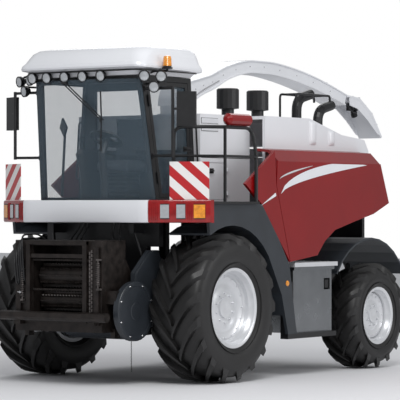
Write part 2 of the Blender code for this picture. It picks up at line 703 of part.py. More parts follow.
def windscreen():
    """The curved front glass, which stands against the faces of the front posts."""
    columns = 8
    sections = []
    for z in (WINDOW_LOW - 0.05, WINDOW_HIGH + 0.04):
        half, edge = cab_side(z) - 0.01, cab_front(z) - GAP
        across = [-half + 2 * half * i / columns for i in range(columns + 1)]
        outer = [(x, edge - GLASS - SCREEN_BULGE * (1 - (x / half) ** 2), z) for x in across]
        sections.append(outer + [(x, y + GLASS, z) for x, y, z in outer[::-1]])
    node("windscreen", "cab_glass", [loft(sections)])


def door_line():
    """The cab door's hinge line, which leans with the front post."""
    heights = (WINDOW_LOW - 0.03, WINDOW_HIGH + 0.02)
    return [Vector((cab_side(z) + HINGE_OUT + GAP, cab_front(z) + PILLAR, z)) for z in heights]


def door_and_windows():
    """The left door with its glass, and the fixed right and rear windows."""
    frame = side_plate(side_opening(SEAM), 0.04)
    hole = side_plate(side_opening(SEAM + 0.05), 0.2, -0.1)
    node("cab_door", "black_paint", [frame] + hinge(*door_line(), (0, 0.04, 0)), [hole], at="door_hinge")
    node("door_glass", "cab_glass", [side_plate(side_opening(SEAM + 0.05 + GAP), GLASS, 0.012)],
         at="door_hinge")
    node("right_window", "cab_glass", [side_plate(side_opening(GAP), GLASS, 0.02)], side=-1)
    node("rear_window", "cab_glass",
         [box((-0.62 + GAP, 0.62 - GAP), (CAB_REAR - 0.03, CAB_REAR - 0.018),
              (2.75 + GAP, WINDOW_HIGH - 0.04 - GAP))])


def roof():
    """The white roof, which overhangs the windscreen as a visor."""
    low = CAB_TOP_Z + GAP
    skirt = [(-0.84, -0.92, low), (0.84, -0.92, low), (0.88, 0.20, low), (-0.88, 0.20, low)]
    brim = [(-0.92, -1.06, 3.72), (0.92, -1.06, 3.72), (0.92, 0.26, 3.68), (-0.92, 0.26, 3.68)]
    crown = [(-0.88, -0.94, 3.84), (0.88, -0.94, 3.84), (0.88, 0.20, 3.86), (-0.88, 0.20, 3.86)]
    top = [(-0.72, -0.70, 3.92), (0.72, -0.70, 3.92), (0.76, 0.08, 3.93), (-0.76, 0.08, 3.93)]
    node("cab_roof", "white_paint", [loft([skirt, brim, crown, top])])


def cab_inside():
    floor = CAB_FLOOR_Z + 0.06 + GAP
    node("driver_seat", "seat_fabric",
         [box((-0.26, 0.26), (-0.42, 0.0), (floor + 0.36, floor + 0.50)),
          prism("X", (-0.25, 0.25), [(-0.08, floor + 0.48), (0.03, floor + 0.48),
                                      (0.05, floor + 1.12), (-0.04, floor + 1.12)]),
          box((-0.18, 0.18), (-0.34, -0.06), (floor, floor + 0.37))])
    centre = Vector((0, -0.50, 2.88))
    lean = Vector((0, 0.45, 0.9)).normalized()
    rim = [(-0.012, 0.205), (0.012, 0.205), (0.012, 0.180), (-0.012, 0.180)]
    node("steering_column", "black_plastic",
         [pipe([(0, -0.54, floor), (0, -0.54, floor + 0.25), centre - 0.2 * lean, centre], 0.045),
          turned_ring(centre, lean, rim, 16),
          turned(centre, lean, [(-0.01, 0.195), (0.008, 0.195)], 16)],
         [rod(centre + spot - 0.1 * lean, centre + spot + 0.1 * lean, 0.055, 12)
          for spot in (Vector((0.115, 0, 0)), Vector((-0.115, 0, 0)))])


def mirrors():
    """Tubular arms from the front posts, each with a mirror head."""
    for side, word in SIDES:
        low, high = 2.66, 3.44
        post = 1.18
        arms = []
        for z in (low, high):
            y = cab_front(z) + PILLAR / 2
            foot = [(y - 0.02, z - 0.03), (y + 0.02, z - 0.03), (y + 0.02, z + 0.03), (y - 0.02, z + 0.03)]
            arms.append(side_plate(foot, -0.02, -GAP))
            arms.append(pipe([(cab_side(z) + 0.015, y, z), (post, -0.78, z)], 0.016))
        arms.append(pipe([(post, -0.78, low - 0.02), (post, -0.78, high + 0.02)], 0.018))
        arms.append(pipe([(post - 0.01, -0.78, 3.20), (1.30, -0.70, 3.20)], 0.014))
        head = plank((1.42, -0.66), (1.22, -0.76), 0.07, (3.00, 3.40))
        node("mirror_" + word, "black_plastic", arms + [head], side=side)


# ---------------------------------------------------------------- feeder and drum


def about_drum(radius, start, end, steps):
    return arc((DRUM_Y, DRUM_Z), radius, start, end, steps)


def drum_housing():
    """The chopping drum's round casing, its trunnions and its drive cover."""
    half = RAIL_X[0] - GAP
    case = prism("X", (-half, half), about_drum(DRUM_CASE, 0, 345, 23))
    # The eight-cornered cover of the drum drive, inside the left front wheel
    outline = [(-0.72, 1.00), (-0.95, 1.15), (-0.95, 1.30), (-0.66, 1.56), (-0.48, 1.56), (-0.30, 1.20),
               (-0.30, 0.80), (-0.62, 0.76)]
    drive = [prism("X", DRIVE_COVER_X, outline),
             box((0.38, DRIVE_COVER_X[0] + 0.03), (-0.35, -0.28), (0.93, RAIL_Z[0] - GAP))]
    pin = FEEDER_HALF + 0.01 - GAP
    axle = [rod((-pin, DRUM_Y, DRUM_Z), (pin, DRUM_Y, DRUM_Z), 0.06, 12)]
    node("drum_housing", "grey_paint", [case] + drive + axle)


def feeder():
    """Side plates, floor, roof and front frame round the feed mouth."""
    plate = [(FEEDER_FRONT, FEEDER_LOW), (FEEDER_FRONT, FEEDER_TOP), (-1.05, 1.58), (-0.72, 1.10),
             (-0.46, 1.02), (-0.40, 0.86), (-0.46, 0.70), (-0.66, FEEDER_LOW)]
    outside = FEEDER_HALF + PLATE
    cavity = box((-MOUTH_HALF, MOUTH_HALF), (FEEDER_FRONT - 0.1, -1.00), MOUTH_Z)
    parts = [box((-outside, outside), (FEEDER_FRONT, -0.97), (FEEDER_LOW, FEEDER_TOP))]
    for sign in (1, -1):
        parts.append(prism("X", sorted((sign * (FEEDER_HALF + 0.01), sign * outside)), plate))
    tube_y = -FRONT_REACH + 0.055
    parts.append(rod((-0.78, tube_y, 0.80), (0.78, tube_y, 0.80), 0.055, 12))
    for sign in (1, -1):
        parts.append(box(sorted((sign * 0.50, sign * 0.60)), (tube_y, FEEDER_FRONT + 0.02), (0.70, 0.84)))
    guard = arc((GEAR_GUARD["y"], GEAR_GUARD["z"]), GEAR_GUARD["radius"], 0, 345, 17)
    parts.append(prism("X", GEAR_GUARD["x"], guard))
    parts.append(box((outside - 0.01, GEAR_GUARD["x"][0] + 0.015), (-1.34, -1.20), (0.95, 1.10)))
    for sign in (1, -1):
        lug = sorted((sign * (FEEDER_HALF + 0.01), sign * (LIFT_X - 0.030)))
        eye_y, eye_z = LIFT_EYE
        parts.append(box(lug, (eye_y - 0.05, eye_y + 0.05), (eye_z - 0.05, eye_z + 0.06)))
    node("feeder_house", "steel", parts, [cavity], at="feeder_hinge")


def rollers():
    """Feed rolls with bars along them, on stub shafts in the mouth's side walls."""
    for word, (z, radius) in ROLLS.items():
        half = MOUTH_HALF - GAP
        parts = [rod((-half, ROLLER_Y, z), (half, ROLLER_Y, z), 0.04, 12),
                 rod((-half + 0.01, ROLLER_Y, z), (half - 0.01, ROLLER_Y, z), radius, 16)]
        node("feed_roll_" + word, "steel", parts, at="roll_" + word)


def lift_cylinders():
    """Barrels on the front axle and their rods, which carry the feeder."""
    base, eye = Vector((LIFT_X, *LIFT_BASE)), Vector((LIFT_X, *LIFT_EYE))
    along = (eye - base).normalized()
    for side, word in SIDES:
        end = base + 0.52 * along
        node("lift_cylinder_" + word, "black_paint",
             [rod(base + 0.02 * along, end, 0.045, 12),
              rod(base - Vector((LIFT_PIN - GAP, 0, 0)), base + Vector((LIFT_PIN - GAP, 0, 0)), 0.04, 12)],
             [rod(base + 0.06 * along, end + 0.1 * along, 0.0253, 12)], at="lift_base_" + word, side=side)
        node("lift_rod_" + word, "silver_paint",
             [rod(base + 0.10 * along, eye - 0.065 * along, 0.025, 12)],
             at="lift_slide_" + word, side=side)


# ---------------------------------------------------------------- spout

# (y, z) of the duct's middle line and its height there
SPOUT_LINE = (
    (TURRET_Y, SPOUT_HINGE_Z + GAP, 0.30), (0.97, 3.47, 0.28), (1.18, 3.56, 0.22), (1.46, 3.64, 0.19),
    (1.83, 3.78, 0.17),
    (2.30, 3.875, 0.165), (2.80, 3.875, 0.165), (3.40, 3.805, 0.165), (4.00, 3.69, 0.16),
    (4.62, 3.53, 0.15),
)


FLAP_PIN = 0.016


def flap_pin():
    """Where the flap's hinge pin lies, just past the top of the duct's end."""
    (y0, z0, _), (y1, z1, deep) = SPOUT_LINE[-2:]
    run = Vector((y1 - y0, z1 - z0)).normalized()
    aside = Vector((-run.y, run.x)) * 0.8 * deep / 2
    return Vector((y1, z1)) + aside + run * (FLAP_PIN / cos(pi / 12) + 2 * GAP)


def spout():
    under, flange = 0.20, 0.04
    node("spout_turret", "white_paint",
         [turned((0, TURRET_Y, HOUSE_TOP - under), (0, 0, 1),
                 [(0, TURRET_RADIUS), (under + GAP, TURRET_RADIUS), (under + GAP, TURRET_RADIUS + 0.04),
                  (under + flange, TURRET_RADIUS + 0.04), (under + flange, TURRET_RADIUS),
                  (under + SPOUT_HINGE_Z - HOUSE_TOP, TURRET_RADIUS)], 24)], at="turret")
    sections = []
    for i, (y, z, deep) in enumerate(SPOUT_LINE):
        before, after = SPOUT_LINE[max(i - 1, 0)], SPOUT_LINE[min(i + 1, len(SPOUT_LINE) - 1)]
        run = Vector((after[0] - before[0], after[1] - before[1])).normalized()
        if i == 0:
            run = Vector((0, 1))
        aside = Vector((-run.y, run.x)) * deep / 2
        top, low = Vector((y, z)) + aside, Vector((y, z)) - aside
        sections.append([(-SPOUT_HALF, *top), (SPOUT_HALF, *top), (SPOUT_HALF, *low), (-SPOUT_HALF, *low)])
    node("spout_arc", "white_paint", [loft(sections)], at="spout_hinge")
    start = flap_pin()
    flap = [(start.x, start.y + FLAP_PIN), (4.97, 3.57), (5.30, 3.37), (SPOUT_REACH, 3.05),
            (SPOUT_REACH - 0.03, 3.03), (5.27, 3.34), (4.95, 3.535), (start.x, start.y - FLAP_PIN / 2)]
    node("spout_flap", "white_paint",
         [prism("X", (-SPOUT_HALF, SPOUT_HALF), flap),
          rod((-SPOUT_HALF, *start), (SPOUT_HALF, *start), FLAP_PIN, 12)], at="flap_hinge")


# ---------------------------------------------------------------- the machine


def place_pivots():
    machine = bpy.data.objects.new("machine", None)
    bpy.context.scene.collection.objects.link(machine)
    machine.location = (0, (FRONT_REACH - SPOUT_REACH) / 2, 0)
    front, rear = FRONT_TYRE["radius"], REAR_TYRE["radius"]
    for side, word in SIDES:
        pivot("wheel_front_" + word, (side * FRONT_TRACK / 2, 0, front))
        pivot("steer_" + word, (side * KINGPIN_X, WHEELBASE, rear))
        pivot("wheel_rear_" + word, (side * REAR_TRACK / 2, WHEELBASE, rear), "steer_" + word)
        pivot("cover_hinge_" + word, (side * COVER_LINE, sum(COVER_TOP_Y) / 2, COVER_TOP_Z))
        pivot("lift_base_" + word, (side * LIFT_X, *LIFT_BASE))
        pivot("lift_slide_" + word, (side * LIFT_X, *LIFT_BASE), "lift_base_" + word)
    pivot("service_hinge", (HOUSE_HALF + HINGE_OUT, SERVICE_Y[1], sum(SERVICE_Z) / 2))
    pivot("rear_hinge", (-REAR_DOOR_HALF, HOOD_REAR + HINGE_OUT, sum(REAR_DOOR_Z) / 2))
    pivot("door_hinge", sum(door_line(), Vector()) / 2)
    pivot("feeder_hinge", (0, DRUM_Y, DRUM_Z))
    for word, (z, _) in ROLLS.items():
        pivot("roll_" + word, (0, ROLLER_Y, z), "feeder_hinge")
    pivot("turret", (0, TURRET_Y, HOUSE_TOP))
    pivot("spout_hinge", (0, TURRET_Y - 0.15, SPOUT_HINGE_Z + GAP), "turret")
    pivot("flap_hinge", (0, *flap_pin()), "spout_hinge")


def build():
    clear_scene()
    place_pivots()
    chassis()
    engine()
    front_axle()
    rear_axle()
    height = FRONT_TYRE["radius"], REAR_TYRE["radius"]
    for side, word in SIDES:
        wheel(word, side, "front", FRONT_TYRE, FRONT_TRACK, (0, height[0]), "wheel_front_" + word)
        knuckle(word, side)
        wheel(word, side, "rear", REAR_TYRE, REAR_TRACK, (WHEELBASE, height[1]), "wheel_rear_" + word)
        front_fender(word, side)
        rear_fender(word, side)
        side_panel(word, side)
        side_cover(word, side)
    tank("fuel_tank", 1, "tank_metal")
    tank("tool_box", -1, "grey_paint")
    platforms()
    engine_house()
    hood()
    roof_gear()
    bumper()
    cab_body()
    windscreen()
    door_and_windows()
    roof()
    cab_inside()
    mirrors()
    drum_housing()
    feeder()
    rollers()
    lift_cylinders()
    spout()


build()
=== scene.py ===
"""Looks for the forage harvester: finishes, lugged tyres, lamps, stripes, cab details,
soft studio light and the camera. Metres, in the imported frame: +X the machine's left, -Y its front.
"""
import json
from math import cos, pi, radians, sin

import bmesh
import bpy
from mathutils import Matrix, Vector

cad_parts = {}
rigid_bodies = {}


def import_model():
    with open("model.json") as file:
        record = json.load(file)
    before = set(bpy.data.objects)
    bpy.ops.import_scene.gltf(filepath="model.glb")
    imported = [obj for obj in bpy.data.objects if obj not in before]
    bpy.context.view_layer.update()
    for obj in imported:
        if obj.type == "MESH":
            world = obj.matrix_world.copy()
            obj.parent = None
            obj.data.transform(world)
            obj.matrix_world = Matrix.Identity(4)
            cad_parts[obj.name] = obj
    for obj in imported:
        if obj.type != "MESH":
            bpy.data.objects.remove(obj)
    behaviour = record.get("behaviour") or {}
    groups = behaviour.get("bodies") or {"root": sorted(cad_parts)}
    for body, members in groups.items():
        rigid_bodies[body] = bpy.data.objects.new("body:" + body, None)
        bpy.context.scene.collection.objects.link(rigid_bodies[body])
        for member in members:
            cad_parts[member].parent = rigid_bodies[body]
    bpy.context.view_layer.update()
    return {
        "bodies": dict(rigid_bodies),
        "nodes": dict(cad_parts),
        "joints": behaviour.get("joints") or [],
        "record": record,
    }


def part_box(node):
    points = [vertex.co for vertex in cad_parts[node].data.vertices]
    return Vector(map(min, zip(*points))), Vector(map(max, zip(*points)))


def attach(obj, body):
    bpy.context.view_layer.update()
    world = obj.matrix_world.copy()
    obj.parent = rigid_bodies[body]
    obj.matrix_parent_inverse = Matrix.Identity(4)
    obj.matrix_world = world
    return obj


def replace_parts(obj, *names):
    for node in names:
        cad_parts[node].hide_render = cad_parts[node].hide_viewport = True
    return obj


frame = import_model()
NODES = frame["nodes"]
AXLE_Y = -2.0               # the front axle's centre line in this frame
SIDES = (("left", 1), ("right", -1))
SHARP = radians(32)         # edges sharper than this are rounded

# ---------------------------------------------------------------- materials


def nodes_of(name):
    """A new material, its node maker and its Principled shader."""
    material = bpy.data.materials.new(name)
    material.use_nodes = True
    tree = material.node_tree
    shader = tree.nodes["Principled BSDF"]

    def add(kind, **settings):
        made = tree.nodes.new(kind)
        for key, value in settings.items():
            if key in made.inputs:
                made.inputs[key].default_value = value
            else:
                setattr(made, key, value)
        return made

    return material, tree, shader, add


def speckle(tree, shader, add, colour, vary, scale, rough, rough_vary, bump):
    """Noise that shades the colour and the roughness a little, and a fine bump."""
    place = add("ShaderNodeTexCoord")
    noise = add("ShaderNodeTexNoise", Scale=scale, Detail=4.0)
    tree.links.new(place.outputs["Object"], noise.inputs["Vector"])
    ramp = add("ShaderNodeValToRGB")
    low = [max(c * (1 - vary), 0) for c in colour]
    high = [min(c * (1 + vary), 1) for c in colour]
    ramp.color_ramp.elements[0].position = 0.3
    ramp.color_ramp.elements[1].position = 0.7
    ramp.color_ramp.elements[0].color = (*low, 1)
    ramp.color_ramp.elements[1].color = (*high, 1)
    tree.links.new(noise.outputs["Fac"], ramp.inputs["Fac"])
    tree.links.new(ramp.outputs["Color"], shader.inputs["Base Color"])
    spread = add("ShaderNodeMapRange", **{"To Min": rough - rough_vary, "To Max": rough + rough_vary})
    tree.links.new(noise.outputs["Fac"], spread.inputs["Value"])
    tree.links.new(spread.outputs["Result"], shader.inputs["Roughness"])
    fine = add("ShaderNodeTexNoise", Scale=scale * 12, Detail=3.0)
    tree.links.new(place.outputs["Object"], fine.inputs["Vector"])
    relief = add("ShaderNodeBump", Strength=bump, Distance=0.002)
    tree.links.new(fine.outputs["Fac"], relief.inputs["Height"])
    tree.links.new(relief.outputs["Normal"], shader.inputs["Normal"])


def surface(name, colour, rough=0.4, metal=0.0, vary=0.05, scale=3.0, rough_vary=0.04,
            bump=0.05, coat=0.0):
    material, tree, shader, add = nodes_of(name)
    speckle(tree, shader, add, colour, vary, scale, rough, rough_vary, bump)
    shader.inputs["Metallic"].default_value = metal
    shader.inputs["Coat Weight"].default_value = coat
    shader.inputs["Coat Roughness"].default_value = 0.06
    return material


def glass(name, colour, alpha, rough=0.04):
    material, tree, shader, add = nodes_of(name)
    shader.inputs["Base Color"].default_value = (*colour, 1)
    shader.inputs["Roughness"].default_value = rough
    shader.inputs["Alpha"].default_value = alpha
    shader.inputs["Coat Weight"].default_value = 0.6
    place = add("ShaderNodeTexCoord")
    noise = add("ShaderNodeTexNoise", Scale=0.8, Detail=2.0)
    tree.links.new(place.outputs["Object"], noise.inputs["Vector"])
    relief = add("ShaderNodeBump", Strength=0.02, Distance=0.01)
    tree.links.new(noise.outputs["Fac"], relief.inputs["Height"])
    tree.links.new(relief.outputs["Normal"], shader.inputs["Normal"])
    return material


def board_stripes(name, lean):
    """Red and white diagonal stripes, even in the board's own plane."""
    material, tree, shader, add = nodes_of(name)
    place = add("ShaderNodeTexCoord")
    split = add("ShaderNodeSeparateXYZ")
    tree.links.new(place.outputs["Object"], split.inputs["Vector"])
    across = add("ShaderNodeMath", operation="MULTIPLY")
    across.inputs[1].default_value = lean
    tree.links.new(split.outputs["X"], across.inputs[0])
    total = add("ShaderNodeMath", operation="ADD")
    tree.links.new(across.outputs[0], total.inputs[0])
    tree.links.new(split.outputs["Z"], total.inputs[1])
    period = add("ShaderNodeMath", operation="MULTIPLY")
    period.inputs[1].default_value = 1 / 0.245
    tree.links.new(total.outputs[0], period.inputs[0])
    part = add("ShaderNodeMath", operation="FRACT")
    tree.links.new(period.outputs[0], part.inputs[0])
    band = add("ShaderNodeMath", operation="GREATER_THAN")
    band.inputs[1].default_value = 0.5
    tree.links.new(part.outputs[0], band.inputs[0])
    mix = add("ShaderNodeMix", data_type="RGBA")
    mix.inputs[6].default_value = (0.86, 0.84, 0.82, 1)
    mix.inputs[7].default_value = (0.50, 0.01, 0.015, 1)
    tree.links.new(band.outputs[0], mix.inputs[0])
    tree.links.new(mix.outputs[2], shader.inputs["Base Color"])
    shader.inputs["Roughness"].default_value = 0.35
    shader.inputs["Coat Weight"].default_value = 0.4
    return material


WHITE = surface("white_coat", (0.80, 0.81, 0.84), 0.30, vary=0.02, scale=1.5, bump=0.02, coat=0.5)
RED = surface("red_coat", (0.235, 0.0008, 0.0018), 0.26, vary=0.10, scale=1.0, bump=0.01, coat=0.12)
GREY = surface("dark_coat", (0.026, 0.031, 0.038), 0.42, vary=0.15, scale=4.0, bump=0.03)
BLACK = surface("black_coat", (0.006, 0.006, 0.007), 0.40, vary=0.25, scale=5.0, bump=0.06)
SILVER = surface("silver_coat", (0.72, 0.73, 0.75), 0.30, 0.35, vary=0.05, scale=4.0, bump=0.03, coat=0.4)
TANK = surface("brushed_tank", (0.27, 0.28, 0.29), 0.26, 0.9, vary=0.08, scale=6.0, bump=0.03)
STEEL = surface("worn_steel", (0.13, 0.115, 0.11), 0.45, 0.65, vary=0.45, scale=9.0,
                rough_vary=0.12, bump=0.2)
DARK_STEEL = surface("oily_steel", (0.022, 0.017, 0.015), 0.40, 0.45, vary=0.5, scale=11.0,
                     rough_vary=0.15, bump=0.25)
BRIGHT = surface("bright_steel", (0.62, 0.62, 0.63), 0.25, 0.9, vary=0.05, scale=10.0, bump=0.03)
RUBBER = surface("tyre_rubber", (0.009, 0.0085, 0.0085), 0.46, vary=0.3, scale=7.0,
                 rough_vary=0.10, bump=0.15)
PLASTIC = surface("moulded_plastic", (0.010, 0.010, 0.011), 0.42, vary=0.2, scale=20.0, bump=0.15)
SEAT = surface("woven_seat", (0.055, 0.065, 0.08), 0.85, vary=0.35, scale=60.0, bump=0.5)
GLASS = glass("tinted_glass", (0.13, 0.19, 0.24), 0.20)
LAMP_RED = surface("red_lens", (0.30, 0.003, 0.004), 0.15, vary=0.2, scale=12.0, bump=0.03, coat=0.3)
AMBER = surface("amber_lens", (0.85, 0.30, 0.02), 0.15, vary=0.25, scale=30.0, bump=0.1, coat=1.0)
CLEAR = surface("lamp_lens", (0.62, 0.64, 0.66), 0.14, 0.6, vary=0.08, scale=30.0, bump=0.05, coat=1.0)

SLOT_FINISH = {
    "white_paint": WHITE, "red_paint": RED, "grey_paint": GREY, "black_paint": BLACK,
    "silver_paint": SILVER, "tank_metal": TANK, "steel": STEEL, "tyre_rubber": RUBBER,
    "cab_glass": GLASS, "seat_fabric": SEAT, "black_plastic": PLASTIC, "warning_board": WHITE,
}
for part in frame["record"]["subparts"]:
    shown = NODES[part["node"]]
    shown.data.materials.clear()
    shown.data.materials.append(SLOT_FINISH[part["material_slot"]])
NODES["feeder_house"].data.materials[0] = DARK_STEEL
for name in ("engine_hood", "engine_house", "side_cover_left", "side_cover_right", "side_panel_left",
             "side_panel_right", "front_fender_left", "front_fender_right", "rear_fender_left",
             "rear_fender_right", "fuel_tank", "tool_box", "air_cleaner_1", "air_cleaner_2",
             "fire_extinguisher", "mirror_left", "mirror_right", "drum_housing", "cab_door"):
    edges = NODES[name].modifiers.new("edges", "BEVEL")
    edges.width = 0.004 if name in ("cab_door", "mirror_left", "mirror_right") else 0.010
    edges.segments = 2
    edges.limit_method = "ANGLE"
    edges.angle_limit = SHARP
for word, lean in (("left", 1.0), ("right", -1.0)):
    board = NODES["warning_board_" + word]
    board.data.materials[0] = board_stripes("stripes_" + word, lean)

# ---------------------------------------------------------------- shapes


def at(x, y, z):
    """A point given from the front axle's centre line."""
    return Vector((x, y + AXLE_Y, z))


def piece(name, form, material, body, smooth=35):
    """A finished mesh piece that rides on a CAD body."""
    mesh = bpy.data.meshes.new(name)
    form.to_mesh(mesh)
    form.free()
    mesh.materials.append(material)
    mesh.shade_smooth()
    mesh.set_sharp_from_angle(angle=radians(smooth))
    made = bpy.data.objects.new(name, mesh)
    bpy.context.scene.collection.objects.link(made)
    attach(made, body)
    return made


def softened(obj, width=0.008, segments=2):
    """Rounds an object's sharp edges without touching its mesh."""
    modifier = obj.modifiers.new("edges", "BEVEL")
    modifier.width = width
    modifier.segments = segments
    modifier.limit_method = "ANGLE"
    modifier.angle_limit = SHARP
    return obj


def skin(form, loops, closed=False, caps=True):
    """Quads between loops of equal length. closed joins the last loop to the first."""
    rows = [[form.verts.new(point) for point in loop] for loop in loops]
    count = len(rows[0])
    pairs = list(zip(rows, rows[1:])) + ([(rows[-1], rows[0])] if closed else [])
    faces = []
    for near, far in pairs:
        for i in range(count):
            j = (i + 1) % count
            faces.append(form.faces.new((near[i], near[j], far[j], far[i])))
    if caps and not closed:
        faces += [form.faces.new(rows[0][::-1]), form.faces.new(rows[-1])]
    bmesh.ops.recalc_face_normals(form, faces=faces)
    return form


def ring(centre, along, across, radius, sides):
    up = along.cross(across)
    return [centre + radius * (cos(2 * pi * i / sides) * across + sin(2 * pi * i / sides) * up)
            for i in range(sides)]


def square_to(along):
    guide = Vector((0, 0, 1)) if abs(along.z) < 0.9 else Vector((1, 0, 0))
    return along.cross(guide).normalized()


def turn(form, centre, along, profile, sides=24, closed=False):
    """(distance along, radius) rings about an axis."""
    along = Vector(along).normalized()
    across = square_to(along)
    loops = [ring(Vector(centre) + at * along, along, across, r, sides) for at, r in profile]
    return skin(form, loops, closed)


def rod(form, start, end, radius, sides=12):
    start, end = Vector(start), Vector(end)
    return turn(form, start, end - start, [(0, radius), ((end - start).length, radius)], sides)


def tube(form, route, radius, sides=10):
    """A round tube along a route of points."""
    route = [Vector(point) for point in route]
    runs = [(b - a).normalized() for a, b in zip(route, route[1:])]
    across = square_to(runs[0])
    loops = []
    for i, point in enumerate(route):
        along = (runs[max(i - 1, 0)] + runs[min(i, len(runs) - 1)]).normalized()
        across = (across - across.dot(along) * along).normalized()
        loops.append(ring(point, along, across, radius, sides))
    return skin(form, loops)


def eased(route, radius, steps=5):
    """The route with its corners rounded."""
    route = [Vector(point) for point in route]
    smooth = [route[0]]
    for before, corner, after in zip(route, route[1:], route[2:]):
        reach = min(radius, (before - corner).length / 2, (after - corner).length / 2)
        start = corner + reach * (before - corner).normalized()
        end = corner + reach * (after - corner).normalized()
        for i in range(steps + 1):
            t = i / steps
            smooth.append(start.lerp(corner, t).lerp(corner.lerp(end, t), t))
    return smooth + [route[-1]]


def block(form, low, high, turned=None):
    """A box from its low to its high corner, turned by a matrix if one is given."""
    loops = [[(low[0], low[1], z), (high[0], low[1], z), (high[0], high[1], z), (low[0], high[1], z)]
             for z in (low[2], high[2])]
    if turned:
        loops = [[turned @ Vector(point) for point in loop] for loop in loops]
    return skin(form, loops)


# ---------------------------------------------------------------- wheels

# end: (radius, half width, rim flange radius, disc offset, lugs a side)
WHEELS = {"front": (0.88, 0.35, 0.44, 0.13, 17), "rear": (0.675, 0.27, 0.335, 0.11, 15)}
LUG_SWEEP = radians(33)
LUG_HEIGHT = 0.055


def lug(form, centre, side, angle, radius, half):
    """One curved tread bar from the middle of the tread out over the shoulder."""
    stations = 8
    loops = []
    for i in range(stations + 1):
        t = i / stations
        x = side * half * (-0.03 + 1.0 * t)
        turn_by = angle + LUG_SWEEP * t ** 0.85
        fall = 0.0 if t < 0.75 else (t - 0.75) * 0.28 * radius
        top = radius - 0.004 - fall
        low = radius - LUG_HEIGHT * 1.35 - fall * 1.2
        wide = (0.027 + 0.020 * t) * radius / 0.88
        loop = []
        for r, w in ((low, 1.7 * wide), (top, wide), (top, -wide), (low, -1.7 * wide)):
            spread = turn_by + w / radius
            loop.append((centre[0] + x, centre[1] - r * cos(spread), centre[2] + r * sin(spread)))
        loops.append(loop)
    skin(form, loops)


def wheel_centre(end, word):
    low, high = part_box(f"tyre_{end}_{word}")
    centre = (low + high) / 2
    centre.z = WHEELS[end][0]
    return centre


def tyre(end, word):
    radius, half, rim, _, lugs = WHEELS[end]
    centre = wheel_centre(end, word)
    form = bmesh.new()
    base = radius - LUG_HEIGHT
    bead = 0.82 * half
    # (across, radius) of the carcass: tread, rounded shoulder, bulging side, bead
    outer = [(0.0, base), (0.5 * half, base - 0.004), (0.80 * half, base - 0.018),
             (0.93 * half, base - 0.05), (0.99 * half, base - 0.11), (half, 0.5 * (base + rim)),
             (0.975 * half, rim + 0.11), (0.91 * half, rim + 0.055), (bead + 0.004, rim + 0.03),
             (bead - 0.004, rim + 0.001)]
    profile = outer + [(-x, r) for x, r in outer[:0:-1]]
    turn(form, centre, (1, 0, 0), profile, 96, closed=True)
    step = 2 * pi / lugs
    for i in range(lugs):
        lug(form, centre, 1, i * step, radius, half)
        lug(form, centre, -1, (i + 0.5) * step, radius, half)
    for side in (1, -1):
        for ridge in (rim + 0.085, rim + 0.16):
            loop = [(side * (0.955 * half + d), ridge + r) for d, r in
                    ((0, 0.006), (0.012, 0.004), (0.012, -0.004), (0, -0.006))]
            turn(form, centre, (1, 0, 0), loop, 96, closed=True)
    made = piece(f"lugged_tyre_{end}_{word}", form, RUBBER, f"{end}_wheel_{word}", 40)
    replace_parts(made, f"tyre_{end}_{word}")


def rim_piece(end, word, sign):
    _, half, rim, disc, _ = WHEELS[end]
    centre = wheel_centre(end, word)
    form = bmesh.new()
    edge = 0.82 * half + 0.018
    out = (sign, 0, 0)
    # The stepped barrel, walked outside and back inside
    outside = [(-edge, rim + 0.033), (-edge + 0.014, rim + 0.033), (-edge + 0.02, rim - 0.002),
               (edge - 0.02, rim - 0.002), (edge - 0.014, rim + 0.033), (edge, rim + 0.033)]
    inside = [(edge, rim + 0.018), (edge - 0.012, rim - 0.004), (edge - 0.05, rim - 0.014),
              (edge - 0.075, rim - 0.034), (edge - 0.12, rim - 0.040), (disc + 0.03, rim - 0.060),
              (-edge + 0.06, rim - 0.030), (-edge + 0.01, rim - 0.012)]
    turn(form, centre, out, outside + inside, 96, closed=True)
    hub = 0.20 * rim / 0.44
    dish = [(disc + 0.002, rim - 0.05), (disc + 0.032, rim - 0.05), (disc + 0.040, rim - 0.08),
            (disc + 0.022, rim - 0.12), (disc + 0.020, hub + 0.045), (disc + 0.032, hub + 0.02),
            (disc + 0.032, hub * 0.62), (disc + 0.055, hub * 0.58), (disc + 0.060, hub * 0.30),
            (disc + 0.052, 0.01)]
    turn(form, centre, out, dish, 72)
    bolts = 10 if end == "front" else 8
    for i in range(bolts):
        angle = 2 * pi * (i + 0.5) / bolts
        spot = centre + Vector((0, cos(angle), sin(angle))) * hub * 0.86
        turn(form, spot, out, [(disc + 0.028, 0.017), (disc + 0.034, 0.017), (disc + 0.034, 0.012),
                               (disc + 0.055, 0.012), (disc + 0.057, 0.009)], 6)
    for i in range(16):
        angle = 2 * pi * i / 16
        spot = centre + Vector((0, cos(angle), sin(angle))) * (rim - 0.085)
        turn(form, spot, out, [(disc + 0.030, 0.010), (disc + 0.046, 0.010), (disc + 0.048, 0.007)], 6)
    made = piece(f"dished_rim_{end}_{word}", form, SILVER, f"{end}_wheel_{word}", 30)
    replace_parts(made, f"rim_{end}_{word}")


for end in WHEELS:
    for word, sign in SIDES:
        tyre(end, word)
        rim_piece(end, word, sign)

# ---------------------------------------------------------------- cab and roof


def rounded_loop(half, front, rear, z, radius, steps=5, lift=None):
    """A rounded rectangle seen from above. lift(x, y) raises its points."""
    loop = []
    corners = ((half - radius, rear - radius, 0), (radius - half, rear - radius, 90),
               (radius - half, front + radius, 180), (half - radius, front + radius, 270))
    for x, y, start in corners:
        for i in range(steps + 1):
            angle = radians(start + 90 * i / steps)
            px, py = x + radius * cos(angle), y + radius * sin(angle)
            loop.append(at(px, py, z + (lift(px, py) if lift else 0)))
    return loop


